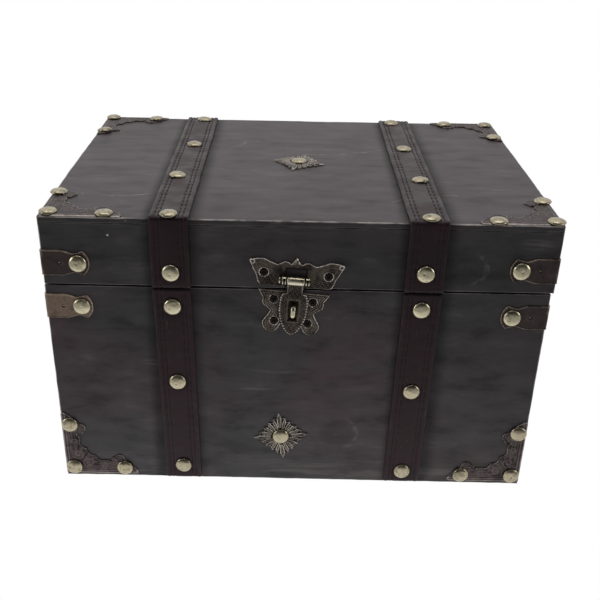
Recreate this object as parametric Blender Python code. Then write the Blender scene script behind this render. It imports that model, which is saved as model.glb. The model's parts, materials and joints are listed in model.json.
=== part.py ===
"""A small wooden trunk with leather straps, bronze corner plates, dome-headed nails and a butterfly hasp.

Lengths are in metres. +Z is up, the front faces -Y, and the origin is the middle of the underside.
The lid turns on two butt hinges at the back, and the hasp turns on a pin in the lid's latch plate.
Nails that hold one strap or plate are one piece: a thin tie in a channel under the strap joins them.
"""

import math

import bmesh
import bpy
from mathutils import Matrix, Vector

MM = 0.001

# Driving dimensions of the box
LID_WIDTH = 300 * MM
LID_DEPTH = 217 * MM
LID_HEIGHT = 42.0 * MM
CASE_HEIGHT = 139.2 * MM
SEAM = 1.3 * MM                 # open gap between the case and the lid
LID_OVERHANG = 0.5 * MM         # the lid stands this far past the case all round
LID_SHIFT = 0.8 * MM            # play in the hinges lets the lid sit a little to the right
BOARD = 9 * MM
LID_PANEL = 3.6 * MM
CASE_PANEL = 5 * MM
JOINT = 0.2 * MM                # glue line between two boards
LAYER = 0.2 * MM                # gap between two layers, such as wood and strap

# Straps, plates, and the ties under them
STRAP_WIDTH = 23 * MM
STRAP_THICK = 1.6 * MM
STRAP_X = 74.2 * MM
STRAP_LEAN = 2.6 * MM           # the front straps lean in by this much at the foot
STRAP_END = 0.6 * MM            # straps end this far past the lid and short of the case's top
STRAP_FOOT = 1.0 * MM           # and this far above the ground
PLATE_THICK = 0.9 * MM
TIE_WIDTH = 2.6 * MM
STRAP_TIE_WIDTH = 6.4 * MM      # wide enough for nails driven off a strap's middle
TIE_THICK = 0.35 * MM
CHANNEL_SIDE = 0.4 * MM         # room beside the tie
CHANNEL_DEPTH = 0.6 * MM

# Nails
HEAD_RADIUS = 5.25 * MM
HEAD_HEIGHT = 1.9 * MM
HEAD_GAP = 0.1 * MM
SHANK_RADIUS = 0.9 * MM
HOLE_RADIUS = 1.35 * MM
NAIL_REACH = 2.8 * MM           # depth of a nail in the wood
HOLE_REACH = 3.1 * MM
NAIL_SIDES = 8
# On the lid, from front to back: X past the strap's middle, and Y
STRAP_NAILS_TOP = {
    "left": ((-0.3 * MM, -105.6 * MM), (-3.0 * MM, -36.2 * MM), (0.7 * MM, 33.0 * MM), (1.6 * MM, 100.6 * MM)),
    "right": ((1.1 * MM, -104.4 * MM), (2.9 * MM, -37.2 * MM), (0.0 * MM, 30.6 * MM), (-2.4 * MM, 99.4 * MM)),
}
STRAP_NAIL_LID_Z = {"left": 149.6 * MM, "right": 151.8 * MM}
STRAP_NAILS_CASE_Z = {
    "left": (11.0 * MM, 75.1 * MM, 127.2 * MM),
    "right": (9.8 * MM, 71.2 * MM, 128.4 * MM),
}

# Side brackets: distance from the vertical edge, and half height there
BRACKET_PROFILE = (
    (28.0 * MM, 1.6 * MM),
    (27.0 * MM, 4.6 * MM),
    (24.4 * MM, 8.1 * MM),
    (21.6 * MM, 6.7 * MM),
    (18.6 * MM, 6.1 * MM),
    (15.4 * MM, 7.2 * MM),
    (12.6 * MM, 8.1 * MM),
)
BRACKET_NAIL = 21.2 * MM
BRACKET_Z = {
    "lid_left": 154.1 * MM,
    "lid_right": 154.6 * MM,
    "case_left": 125.9 * MM,
    "case_right": 124.1 * MM,
}

# Corner plates
# Its nails, inward from the two edges: by the corner, on the arm along U, and on the arm along V
CASE_CORNER_NAILS = ((5.4 * MM, 5.4 * MM), (38.7 * MM, 5.4 * MM), (5.4 * MM, 38.7 * MM))
LID_CORNER_NAILS = {
    "front_left": ((5.1 * MM, 5.1 * MM), (37.5 * MM, 3.6 * MM), (3.8 * MM, 38.2 * MM)),
    "front_right": ((4.0 * MM, 3.6 * MM), (37.0 * MM, 2.9 * MM), (3.9 * MM, 37.3 * MM)),
    "back_left": ((5.0 * MM, 3.6 * MM), (38.4 * MM, 5.4 * MM), (4.6 * MM, 39.8 * MM)),
    "back_right": ((6.4 * MM, 6.6 * MM), (37.6 * MM, 6.4 * MM), (5.4 * MM, 40.4 * MM)),
}
CORNER_TIE_EDGE = 4.6 * MM      # from the tie's middle to the nearest edge
CORNER_TIE_ARM = 38.7 * MM
CORNER_TIE_HALF = 2.2 * MM
CORNER_INSET = 0.4 * MM         # the lid's plates stop this far from its edges
CORNER_LIFT = 2.0 * MM          # the case's plates stop this far above the ground

# Stars
FRONT_STAR = (-8.1 * MM, 35.1 * MM)
FRONT_STAR_TURN = math.radians(6)
TOP_STAR = (0.3 * MM, 0.0)
TOP_STAR_TURN = math.radians(-15)
STAR_RADIUS = 17.6 * MM
STAR_TEETH = 4
STAR_NOTCH = 0.86               # a notch's distance from the middle, as a share of the straight side's

# Latch, measured from the middle of its pin: U to the right, V up, W out of the face
LATCH_X = -1.0 * MM
LATCH_Z = 146.6 * MM
LATCH_TILT = math.radians(3.7)
PIN_OUT = 3.1 * MM
PIN_RADIUS = 0.9 * MM
PIN_BORE = 1.2 * MM
PIN_HEAD_RADIUS = 1.4 * MM
PIN_ENDS = (-10.0 * MM, 9.2 * MM)
BARREL_RADIUS = 2.6 * MM
BARREL_HALF = 5.0 * MM
EAR_INNER = 6.0 * MM
EAR_OUTER = 7.8 * MM
WINDOW_HALF = 5.5 * MM
WINDOW_TOP = 6.2 * MM
HASP_LOW = 1.45 * MM
HASP_THICK = 1.1 * MM
SLOT_HALF = 2.6 * MM
SLOT_TOP = -13.4 * MM
SLOT_FOOT = -26.4 * MM
STAPLE_HALF = 1.3 * MM
STAPLE_TOP = -15.8 * MM
STAPLE_FOOT = -24.4 * MM
STAPLE_WIRE = 2.2 * MM
STAPLE_OUT = 6.5 * MM
STAPLE_IN = 4.0 * MM
STAPLE_ROOM = 0.25 * MM
SCREW_RADIUS = 2.0 * MM
SCREW_TOP = 1.0 * MM
SCREW_HOLE = 2.45 * MM
LID_SCREW = (19.0 * MM, 3.2 * MM)
CASE_SCREWS = ((11.6 * MM, -14.1 * MM), (10.0 * MM, -28.4 * MM))
CASE_PLATE_TURN = math.radians(-1.2)
CASE_TIE_HALF = 1.4 * MM
CASE_TIE_U = 10.8 * MM
CASE_TIE_TOP = -13.6 * MM

# Butt hinges
HINGE_X = 43 * MM
HINGE_OUT = 2.6 * MM            # from the lid's back face to the pins' axis
HINGE_HALF = 13 * MM
HINGE_MIDDLE = 4.4 * MM         # half width of the lid leaf's knuckle
LEAF_HEIGHT = 12 * MM
LEAF_THICK = 1.0 * MM
KNUCKLE_RADIUS = 2.2 * MM
KNUCKLE_GAP = 0.4 * MM
KNUCKLE_SIDES = 12
HINGE_SCREW_U = 8 * MM
HINGE_SCREW_V = 7.5 * MM
HINGE_SCREW_RADIUS = 1.9 * MM
HINGE_SCREW_HIGH = 0.5 * MM

# Worked out from the dimensions above
LID_BOTTOM = CASE_HEIGHT + SEAM
LID_TOP = LID_BOTTOM + LID_HEIGHT
LID_FRONT = -LID_DEPTH / 2
LID_BACK = LID_DEPTH / 2
LID_LEFT = LID_SHIFT - LID_WIDTH / 2
LID_RIGHT = LID_SHIFT + LID_WIDTH / 2
CASE_FRONT = LID_FRONT + LID_OVERHANG
CASE_BACK = LID_BACK - LID_OVERHANG
CASE_SIDE = LID_WIDTH / 2 - LID_OVERHANG
LAYER_TOP = LAYER + PLATE_THICK
STRAP_TOP = LAYER + STRAP_THICK
HINGE_Y = LID_BACK + HINGE_OUT
HINGE_Z = CASE_HEIGHT + SEAM / 2
SIDES = {"left": -1, "right": 1}
ENDS = {"front": -1, "back": 1}

X = Vector((1, 0, 0))
Y = Vector((0, 1, 0))
Z = Vector((0, 0, 1))

# Half of each outline, in millimetres, anticlockwise. The third value is how far the line to the
# next point bows outward, as a share of its length.
CORNER_HALF = (
    (46.4, 0.0, 0.0),
    (47.8, 1.4, 0.08),
    (42.0, 8.4, -0.12),
    (38.8, 13.6, 0.30),
    (32.6, 13.6, 0.35),
    (31.0, 9.2, 0.15),
    (26.2, 11.0, -0.20),
    (20.2, 14.8, -0.20),
)
LID_PLATE_HALF = (
    (20.4, -5.2, 0.12),
    (23.1, -0.8, -0.05),
    (25.5, 4.4, -0.04),
    (27.9, 9.2, 0.35),
    (26.2, 11.3, 0.05),
    (18.8, 12.0, -0.03),
    (11.1, 9.0, 0.0),
    (7.4, 11.0, 0.12),
    (3.2, 9.5, -0.10),
    (0.0, 14.3, 0.0),
)
CASE_PLATE_HALF = (
    (6.0, -30.6, 0.0),
    (7.6, -34.0, 0.15),
    (11.8, -36.2, 0.15),
    (16.6, -33.0, 0.15),
    (16.9, -28.4, 0.0),
    (14.8, -25.2, 0.0),
    (13.3, -22.0, -0.05),
    (17.6, -18.6, 0.12),
    (18.3, -14.0, 0.0),
    (21.6, -8.3, 0.0),
)
HASP_HALF = (
    (0.0, -36.4, 0.12),
    (5.4, -31.0, 0.07),
    (8.6, -18.6, 0.06),
    (7.2, -8.6, 0.0),
    (4.9, -8.2, 0.0),
    (4.9, 0.0, 0.0),
)

COLOURS = {
    "wood": ((0.035, 0.033, 0.034), 0.55, 0.0),
    "leather": ((0.030, 0.018, 0.021), 0.50, 0.0),
    "bronze": ((0.110, 0.085, 0.060), 0.45, 1.0),
    "brass": ((0.620, 0.560, 0.380), 0.28, 1.0),
}


# Frames and outlines

def face_frame(origin, across, up):
    """U runs along across, V along up, and W is U cross V, which points out of the face."""
    matrix = Matrix((across, up, across.cross(up))).transposed().to_4x4()
    return Matrix.Translation(origin) @ matrix


def flipped(place, u=1, v=1):
    """The same frame with U or V turned round, still facing the same way."""
    return place @ Matrix.Diagonal((u, v, 1, 1))


def shifted(place, u, v):
    return place @ Matrix.Translation((u, v, 0))


def traced(corners, steps=3):
    """An outline in metres through closed (x, y, bow) corners; a bowed line becomes short chords."""
    points = []
    for i, (x, y, bow) in enumerate(corners):
        start = Vector((x, y))
        end = Vector(corners[(i + 1) % len(corners)][:2])
        outward = Vector((end.y - start.y, start.x - end.x))
        points.append(start * MM)
        for k in range(1, steps if bow else 1):
            t = k / steps
            points.append((start.lerp(end, t) + outward * (4 * bow * t * (1 - t))) * MM)
    return [(p.x, p.y) for p in points]


def whole(half, mirror):
    """Both halves of a symmetric outline. mirror gives a point's twin."""
    twins = []
    for i in reversed(range(len(half))):
        x, y, _ = half[i]
        if mirror(x, y) != (x, y):
            twins.append((*mirror(x, y), half[i - 1][2] if i else 0.0))
    return tuple(half) + tuple(twins)


def left_right(x, y):
    return -x, y


def across_diagonal(x, y):
    return y, x


def star_outline():
    """A four-pointed star whose straight sides, from tip to tip, have teeth."""
    points = []
    for quarter in range(4):
        for k in range(2 * STAR_TEETH + 2):
            t = k / (2 * STAR_TEETH + 2)
            point = Vector((1 - t, t)) * STAR_RADIUS * (STAR_NOTCH if k % 2 else 1)
            point.rotate(Matrix.Rotation(quarter * math.pi / 2, 2))
            points.append((point.x, point.y))
    return points


def bent_bar(edge, arm, half):
    """An L along two edges, half wide on both sides of the line at distance edge from each."""
    return [
        (edge - half, edge - half),
        (arm + half, edge - half),
        (arm + half, edge + half),
        (edge + half, edge + half),
        (edge + half, arm + half),
        (edge - half, arm + half),
    ]


def bridge_bar(side, top, foot, half):
    """An upside-down U: a bar at height top between two legs at -side and side, which end at foot."""
    return [
        (-side - half, foot - half),
        (-side + half, foot - half),
        (-side + half, top - half),
        (side - half, top - half),
        (side - half, foot - half),
        (side + half, foot - half),
        (side + half, top + half),
        (-side - half, top + half),
    ]


# Shapes

def add_box(bm, low, high, place=Matrix()):
    low, high = Vector(low), Vector(high)
    size = Matrix.Diagonal((*(high - low), 1))
    bmesh.ops.create_cube(bm, size=1, matrix=place @ Matrix.Translation((low + high) / 2) @ size)


def add_prism(bm, outline, low, high, place):
    """A plate with a closed outline of (u, v) points, from w = low to w = high."""
    rings = [[bm.verts.new(place @ Vector((u, v, w))) for u, v in outline] for w in (low, high)]
    bm.faces.new(rings[0])
    bm.faces.new(rings[1])
    join_rings(bm, *rings)


def ring_of(bm, radius, w, sides, place):
    if radius == 0:
        return [bm.verts.new(place @ Vector((0, 0, w)))]
    turns = [math.tau * i / sides for i in range(sides)]
    return [bm.verts.new(place @ Vector((radius * math.cos(a), radius * math.sin(a), w))) for a in turns]


def join_rings(bm, ring, after):
    """Faces between two closed rings; either may be a single point."""
    count = max(len(ring), len(after))
    for i in range(count):
        j = (i + 1) % count
        corners = (ring[i % len(ring)], ring[j % len(ring)], after[j % len(after)], after[i % len(after)])
        bm.faces.new(list(dict.fromkeys(corners)))


def add_lathe(bm, profile, place, sides=NAIL_SIDES):
    """A solid turned about W. The profile is (radius, w) points, and starts and ends on the axis."""
    rings = [ring_of(bm, radius, w, sides, place) for radius, w in profile]
    for ring, after in zip(rings, rings[1:]):
        join_rings(bm, ring, after)


def add_rod(bm, radius, low, high, place, sides=NAIL_SIDES):
    add_lathe(bm, ((0, low), (radius, low), (radius, high), (0, high)), place, sides)


def add_strip(bm, path, normals, across, stations, low, high):
    """A flat strip that follows a path with square bends.

    stations are (leg, share, half width); low and high are the strip's distances from the path.
    """
    sections = []
    for leg, share, half in stations:
        point = path[leg].lerp(path[leg + 1], share)
        normal = normals[leg] + normals[leg - 1] if leg and not share else normals[leg]
        corners = ((low, -half), (high, -half), (high, half), (low, half))
        sections.append([bm.verts.new(point + normal * w + across * side) for w, side in corners])
    bm.faces.new(sections[0])
    bm.faces.new(sections[-1])
    for section, after in zip(sections, sections[1:]):
        join_rings(bm, section, after)


def add_nail(bm, place, seat):
    """A nail whose domed head sits at w = seat."""
    profile = (
        (0, -NAIL_REACH),
        (SHANK_RADIUS, -0.8 * NAIL_REACH),
        (SHANK_RADIUS, seat),
        (HEAD_RADIUS, seat),
        (0.86 * HEAD_RADIUS, seat + 0.55 * HEAD_HEIGHT),
        (0.48 * HEAD_RADIUS, seat + 0.9 * HEAD_HEIGHT),
        (0, seat + HEAD_HEIGHT),
    )
    add_lathe(bm, profile, place)


def add_screw(bm, place):
    """A countersunk screw in a plate."""
    profile = (
        (0, -NAIL_REACH),
        (SHANK_RADIUS, -0.8 * NAIL_REACH),
        (SHANK_RADIUS, LAYER + TIE_THICK / 2),
        (SCREW_RADIUS, SCREW_TOP - 0.2 * MM),
        (SCREW_RADIUS, SCREW_TOP),
        (0, SCREW_TOP),
    )
    add_lathe(bm, profile, place)


# Objects

def clear_scene():
    for obj in list(bpy.data.objects):
        bpy.data.objects.remove(obj, do_unlink=True)


def make_materials():
    made = {}
    for name, (colour, roughness, metallic) in COLOURS.items():
        material = bpy.data.materials.new(name)
        material.use_nodes = True
        shader = material.node_tree.nodes["Principled BSDF"]
        shader.inputs["Base Color"].default_value = (*colour, 1.0)
        shader.inputs["Roughness"].default_value = roughness
        shader.inputs["Metallic"].default_value = metallic
        made[name] = material
    return made


def place_of(obj):
    """World position of an object whose parents aren't turned."""
    place = Vector()
    while obj:
        place += obj.location
        obj = obj.parent
    return place


def add_pivot(name, place, parent=None):
    empty = bpy.data.objects.new(name, None)
    bpy.context.scene.collection.objects.link(empty)
    empty.parent = parent
    empty.location = Vector(place) - place_of(parent)
    return empty


def add_piece(name, bm, material, parent, origin=None):
    """One named piece under a parent. Its origin is the middle of its own box unless one is given."""
    bmesh.ops.recalc_face_normals(bm, faces=bm.faces)
    if origin is None:
        lows = [min(v.co[i] for v in bm.verts) for i in range(3)]
        highs = [max(v.co[i] for v in bm.verts) for i in range(3)]
        origin = (Vector(lows) + Vector(highs)) / 2
    bmesh.ops.translate(bm, verts=bm.verts, vec=-origin)
    mesh = bpy.data.meshes.new(name)
    bm.to_mesh(mesh)
    bm.free()
    if material:
        mesh.materials.append(material)
    obj = bpy.data.objects.new(name, mesh)
    bpy.context.scene.collection.objects.link(obj)
    obj.parent = parent
    obj.location = origin - place_of(parent)
    return obj


def add_tool(name, bm):
    """A cutter, or a shape to be joined on: never a piece of its own."""
    tool = add_piece(name, bm, None, None)
    tool.hide_render = True
    tool.display_type = "WIRE"
    return tool


def combine(target, name, bm, operation="DIFFERENCE"):
    """Cuts the shape in bm out of the target, or joins it on."""
    modifier = target.modifiers.new(name, "BOOLEAN")
    modifier.operation = operation
    modifier.solver = "EXACT"
    modifier.object = add_tool(f"{target.name}_{name}", bm)


def drill(target, name, places, radius, low, high):
    bm = bmesh.new()
    for place in places:
        add_rod(bm, radius, low, high, place)
    combine(target, name, bm)


def nail_holes(target, places):
    drill(target, "nail_holes", places, HOLE_RADIUS, -HOLE_REACH, STRAP_TOP + MM)


def shade_round(obj):
    obj.data.shade_smooth()
    obj.data.set_sharp_from_angle(angle=math.radians(40))


def nail_group(name, tie, places, seat, material, parent):
    """The nails of one strap or plate: the tie, with a nail at each place joined to it."""
    group = add_piece(name, tie, material, parent)
    bm = bmesh.new()
    for place in places:
        add_nail(bm, place, seat)
    combine(group, "nails", bm, "UNION")
    return group


# Faces that things are fixed to

def on_front(front, x, z):
    return face_frame((x, front, z), X, Z)


def on_back(back, x, z):
    return face_frame((x, back, z), -X, Z)


def on_top(x, y):
    return face_frame((x, y, LID_TOP), X, Y)


def on_side(side, edge, y, z):
    return face_frame((edge, y, z), side * Y, Z)


def latch_frame(front):
    across = Vector((math.cos(LATCH_TILT), 0, -math.sin(LATCH_TILT)))
    up = Vector((math.sin(LATCH_TILT), 0, math.cos(LATCH_TILT)))
    return face_frame((LATCH_X, front, LATCH_Z), across, up)


def pin_frame():
    """W runs along the latch pin, from left to right."""
    latch = latch_frame(LID_FRONT)
    middle = latch @ Vector((0, 0, PIN_OUT))
    across = (latch.to_3x3() @ X).normalized()
    up = (latch.to_3x3() @ Y).normalized()
    return face_frame(middle, up, across.cross(up)), middle


def hinge_frame(side):
    """W runs along a hinge's pin, towards -X."""
    return face_frame((side * HINGE_X, HINGE_Y, HINGE_Z), Z, Y)


# Straps

def lid_strap_path(side, end):
    x = side * STRAP_X
    return (
        Vector((x, LID_FRONT, end)),
        Vector((x, LID_FRONT, LID_TOP)),
        Vector((x, LID_BACK, LID_TOP)),
        Vector((x, LID_BACK, end)),
    )


def add_lid_strip(bm, side, end, half, low, high):
    stations = ((0, 0, half), (1, 0, half), (2, 0, half), (2, 1, half))
    add_strip(bm, lid_strap_path(side, end), (-Y, Z, Y), X, stations, low, high)


def lid_strap_nails(hand):
    x = SIDES[hand] * STRAP_X
    z = STRAP_NAIL_LID_Z[hand]
    tops = [on_top(x + aside, y) for aside, y in STRAP_NAILS_TOP[hand]]
    return [on_front(LID_FRONT, x, z), on_back(LID_BACK, x, z)], tops


def lean(z, face):
    """How far a case strap's middle lies inward of the lid strap's at height z."""
    return STRAP_LEAN * (1 - z / CASE_HEIGHT) if face == "front" else 0.0


def case_strap_nails(hand, face):
    places = []
    for z in STRAP_NAILS_CASE_Z[hand]:
        x = SIDES[hand] * (STRAP_X - lean(z, face))
        places.append(on_front(CASE_FRONT, x, z) if face == "front" else on_back(CASE_BACK, x, z))
    return places


def add_case_strip(bm, hand, face, foot, head, half, low, high):
    side = SIDES[hand]
    y, normal = (CASE_FRONT, -Y) if face == "front" else (CASE_BACK, Y)
    path = [Vector((side * (STRAP_X - lean(z, face)), y, z)) for z in (foot, head)]
    add_strip(bm, path, (normal,), X, ((0, 0, half), (0, 1, half)), low, high)


def make_strap(name, add, nails, ends, materials, parent):
    """A strap, the channel under it, its holes and its nails. ends are the tie's reach past its nails."""
    bm = bmesh.new()
    add(bm, *ends["strap"], STRAP_WIDTH / 2, LAYER, STRAP_TOP)
    strap = add_piece(name, bm, materials["leather"], parent)
    channel = bmesh.new()
    add(channel, *ends["channel"], STRAP_TIE_WIDTH / 2 + CHANNEL_SIDE, 0, LAYER + CHANNEL_DEPTH)
    combine(strap, "channel", channel)
    nail_holes(strap, nails)
    tie = bmesh.new()
    add(tie, *ends["tie"], STRAP_TIE_WIDTH / 2, LAYER, LAYER + TIE_THICK)
    nail_group(f"{name}_nails", tie, nails, STRAP_TOP + HEAD_GAP, materials["brass"], parent)


def make_straps(materials, case, lid):
    past = TIE_WIDTH / 2
    room = past + CHANNEL_SIDE
    for hand, side in SIDES.items():
        walls, tops = lid_strap_nails(hand)
        low = STRAP_NAIL_LID_Z[hand]
        ends = {"strap": (LID_BOTTOM - STRAP_END,), "channel": (low - room,), "tie": (low - past,)}

        def lid_strip(bm, end, half, low_w, high_w, side=side):
            add_lid_strip(bm, side, end, half, low_w, high_w)

        make_strap(f"lid_strap_{hand}", lid_strip, walls + tops, ends, materials, lid)
        for face in ("front", "back"):
            foot, _, head = STRAP_NAILS_CASE_Z[hand]
            ends = {
                "strap": (STRAP_FOOT, CASE_HEIGHT - STRAP_END),
                "channel": (foot - room, head + room),
                "tie": (foot - past, head + past),
            }

            def case_strip(bm, foot_z, head_z, half, low_w, high_w, hand=hand, face=face):
                add_case_strip(bm, hand, face, foot_z, head_z, half, low_w, high_w)

            name = f"case_strap_{face}_{hand}"
            make_strap(name, case_strip, case_strap_nails(hand, face), ends, materials, case)


# Side brackets

def bracket_edges(part, hand):
    """The face in front, and the vertical edge's X."""
    if part == "case":
        return CASE_FRONT, SIDES[hand] * CASE_SIDE
    return LID_FRONT, LID_LEFT if hand == "left" else LID_RIGHT


def bracket_nails(part, hand):
    front, edge = bracket_edges(part, hand)
    z = BRACKET_Z[f"{part}_{hand}"]
    side = SIDES[hand]
    return (
        on_front(front, edge - side * BRACKET_NAIL, z),
        on_side(side, edge, front + BRACKET_NAIL, z),
    )


def add_bracket_strip(bm, part, hand, reach, profile, low, high):
    """A strip round the vertical edge. profile gives (distance from the edge, half height)."""
    front, edge = bracket_edges(part, hand)
    side = SIDES[hand]
    z = BRACKET_Z[f"{part}_{hand}"]
    path = (
        Vector((edge - side * reach, front, z)),
        Vector((edge, front, z)),
        Vector((edge, front + reach, z)),
    )
    stations = [(0, 1 - d / reach, half) for d, half in profile]
    stations.append((1, 0, profile[-1][1]))
    stations += [(1, d / reach, half) for d, half in reversed(profile)]
    add_strip(bm, path, (-Y, side * X), Z, stations, low, high)


def make_bracket(part, hand, materials, parent):
    name = f"{part}_bracket_{hand}"
    nails = bracket_nails(part, hand)
    bm = bmesh.new()
    add_bracket_strip(bm, part, hand, BRACKET_PROFILE[0][0], BRACKET_PROFILE, LAYER, LAYER_TOP)
    bracket = add_piece(name, bm, materials["bronze"], parent)
    half = TIE_WIDTH / 2
    reach = BRACKET_NAIL + half
    channel = bmesh.new()
    room = half + CHANNEL_SIDE
    longer = reach + CHANNEL_SIDE
    add_bracket_strip(channel, part, hand, longer, ((longer, room),), 0, LAYER + CHANNEL_DEPTH)
    combine(bracket, "channel", channel)
    nail_holes(bracket, nails)
    tie = bmesh.new()
    add_bracket_strip(tie, part, hand, reach, ((reach, half),), LAYER, LAYER + TIE_THICK)
    nail_group(f"{name}_nails", tie, nails, LAYER_TOP + HEAD_GAP, materials["brass"], parent)


# Corner plates and stars

def lid_corner_frame(side, end):
    """A top corner: U and V run inward from the lid's two edges."""
    x = (LID_LEFT if side < 0 else LID_RIGHT) - side * CORNER_INSET
    y = end * (LID_BACK - CORNER_INSET)
    return flipped(on_top(x, y), -side, -end)


def case_corner_frame(side):
    return flipped(on_front(CASE_FRONT, side * CASE_SIDE, CORNER_LIFT), -side)


def corner_nails(place, spots):
    return [shifted(place, u, v) for u, v in spots]


def make_corner(name, place, spots, materials, parent):
    nails = corner_nails(place, spots)
    bm = bmesh.new()
    add_prism(bm, traced(whole(CORNER_HALF, across_diagonal) + ((0.0, 0.0, 0.0),)), LAYER, LAYER_TOP, place)
    plate = add_piece(name, bm, materials["bronze"], parent)
    channel = bmesh.new()
    outline = bent_bar(CORNER_TIE_EDGE, CORNER_TIE_ARM, CORNER_TIE_HALF + CHANNEL_SIDE)
    add_prism(channel, outline, 0, LAYER + CHANNEL_DEPTH, place)
    combine(plate, "channel", channel)
    nail_holes(plate, nails)
    tie = bmesh.new()
    outline = bent_bar(CORNER_TIE_EDGE, CORNER_TIE_ARM, CORNER_TIE_HALF)
    add_prism(tie, outline, LAYER, LAYER + TIE_THICK, place)
    nail_group(f"{name}_nails", tie, nails, LAYER_TOP + HEAD_GAP, materials["brass"], parent)


def make_star(name, place, materials, parent):
    bm = bmesh.new()
    add_prism(bm, star_outline(), LAYER, LAYER_TOP, place)
    star = add_piece(name, bm, materials["bronze"], parent)
    nail_holes(star, [place])
    bm = bmesh.new()
    add_nail(bm, place, LAYER_TOP + HEAD_GAP)
    shade_round(add_piece(f"{name}_nail", bm, materials["brass"], parent))


def star_frames():
    front = on_front(CASE_FRONT, *FRONT_STAR) @ Matrix.Rotation(FRONT_STAR_TURN, 4, "Z")
    top = on_top(*TOP_STAR) @ Matrix.Rotation(TOP_STAR_TURN, 4, "Z")
    return front, top


# Latch

def lid_screw_places():
    u, v = LID_SCREW
    return {hand: shifted(latch_frame(LID_FRONT), side * u, v) for hand, side in SIDES.items()}


def case_plate_frame():
    """The case's plate hangs a little askew from the latch."""
    return latch_frame(CASE_FRONT) @ Matrix.Rotation(CASE_PLATE_TURN, 4, "Z")


def case_screw_places():
    place = case_plate_frame()
    return [shifted(place, side * u, v) for u, v in CASE_SCREWS for side in SIDES.values()]


def staple_leg_boxes(room):
    """Low and high corners of the staple's two legs in the latch's frame."""
    boxes = []
    for v in (STAPLE_TOP - STAPLE_WIRE, STAPLE_FOOT):
        low = (-STAPLE_HALF - room, v - room, -STAPLE_IN - room)
        boxes.append((low, (STAPLE_HALF + room, v + STAPLE_WIRE + room, STAPLE_OUT / 2)))
    return boxes


def cut_staple_holes(target):
    bm = bmesh.new()
    for low, high in staple_leg_boxes(STAPLE_ROOM):
        add_box(bm, low, high, latch_frame(CASE_FRONT))
    combine(target, "staple_holes", bm)


def make_latch_lid_plate(materials, lid):
    latch = latch_frame(LID_FRONT)
    bm = bmesh.new()
    add_prism(bm, traced(whole(LID_PLATE_HALF, left_right)), LAYER, LAYER_TOP, latch)
    plate = add_piece("latch_lid_plate", bm, materials["bronze"], lid)
    window = bmesh.new()
    add_box(window, (-WINDOW_HALF, -20 * MM, 0), (WINDOW_HALF, WINDOW_TOP, PIN_OUT), latch)
    combine(plate, "window", window)
    ears = bmesh.new()
    for side in SIDES.values():
        inner, outer = sorted((side * EAR_INNER, side * EAR_OUTER))
        low = (inner, -BARREL_RADIUS, LAYER + PLATE_THICK / 2)
        add_box(ears, low, (outer, BARREL_RADIUS, PIN_OUT + BARREL_RADIUS), latch)
    combine(plate, "ears", ears, "UNION")
    along, _ = pin_frame()
    drill(plate, "pin_hole", [along], PIN_BORE, -EAR_OUTER - MM, EAR_OUTER + MM)
    drill(plate, "screw_holes", lid_screw_places().values(), SCREW_HOLE, 0, LAYER_TOP + MM)
    for hand, place in lid_screw_places().items():
        bm = bmesh.new()
        add_screw(bm, place)
        shade_round(add_piece(f"latch_lid_screw_{hand}", bm, materials["bronze"], lid))


def make_latch_pin(materials, lid):
    along, _ = pin_frame()
    start, end = PIN_ENDS
    profile = (
        (0, start),
        (PIN_HEAD_RADIUS, start),
        (PIN_HEAD_RADIUS, start + MM),
        (PIN_RADIUS, start + MM),
        (PIN_RADIUS, end),
        (0, end),
    )
    bm = bmesh.new()
    add_lathe(bm, profile, along, KNUCKLE_SIDES)
    shade_round(add_piece("latch_pin", bm, materials["brass"], lid))


def make_hasp(materials, hasp_pivot):
    along, axis_point = pin_frame()
    bm = bmesh.new()
    add_rod(bm, BARREL_RADIUS, -BARREL_HALF, BARREL_HALF, along, KNUCKLE_SIDES)
    hasp = add_piece("hasp", bm, materials["bronze"], hasp_pivot, origin=axis_point)
    latch = latch_frame(LID_FRONT)
    tongue = bmesh.new()
    outline = traced(whole(HASP_HALF, left_right))
    add_prism(tongue, outline, HASP_LOW, HASP_LOW + HASP_THICK, latch)
    combine(hasp, "tongue", tongue, "UNION")
    drill(hasp, "bore", [along], PIN_BORE, -BARREL_HALF - MM, BARREL_HALF + MM)
    slot = bmesh.new()
    add_box(slot, (-SLOT_HALF, SLOT_FOOT, 0), (SLOT_HALF, SLOT_TOP, HASP_LOW + HASP_THICK + MM), latch)
    combine(hasp, "slot", slot)


def make_latch_case_plate(materials, case):
    place = case_plate_frame()
    bm = bmesh.new()
    add_prism(bm, traced(whole(CASE_PLATE_HALF, left_right)), LAYER, LAYER_TOP, place)
    plate = add_piece("latch_case_plate", bm, materials["bronze"], case)
    top, foot = CASE_TIE_TOP, CASE_SCREWS[1][1]
    channel = bmesh.new()
    outline = bridge_bar(CASE_TIE_U, top, foot, CASE_TIE_HALF + CHANNEL_SIDE)
    add_prism(channel, outline, 0, LAYER + CHANNEL_DEPTH, place)
    combine(plate, "channel", channel)
    drill(plate, "screw_holes", case_screw_places(), SCREW_HOLE, 0, LAYER_TOP + MM)
    cut_staple_holes(plate)
    tie = bmesh.new()
    add_prism(tie, bridge_bar(CASE_TIE_U, top, foot, CASE_TIE_HALF), LAYER, LAYER + TIE_THICK, place)
    screws = add_piece("latch_case_screws", tie, materials["bronze"], case)
    bm = bmesh.new()
    for place in case_screw_places():
        add_screw(bm, place)
    combine(screws, "screws", bm, "UNION")


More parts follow.
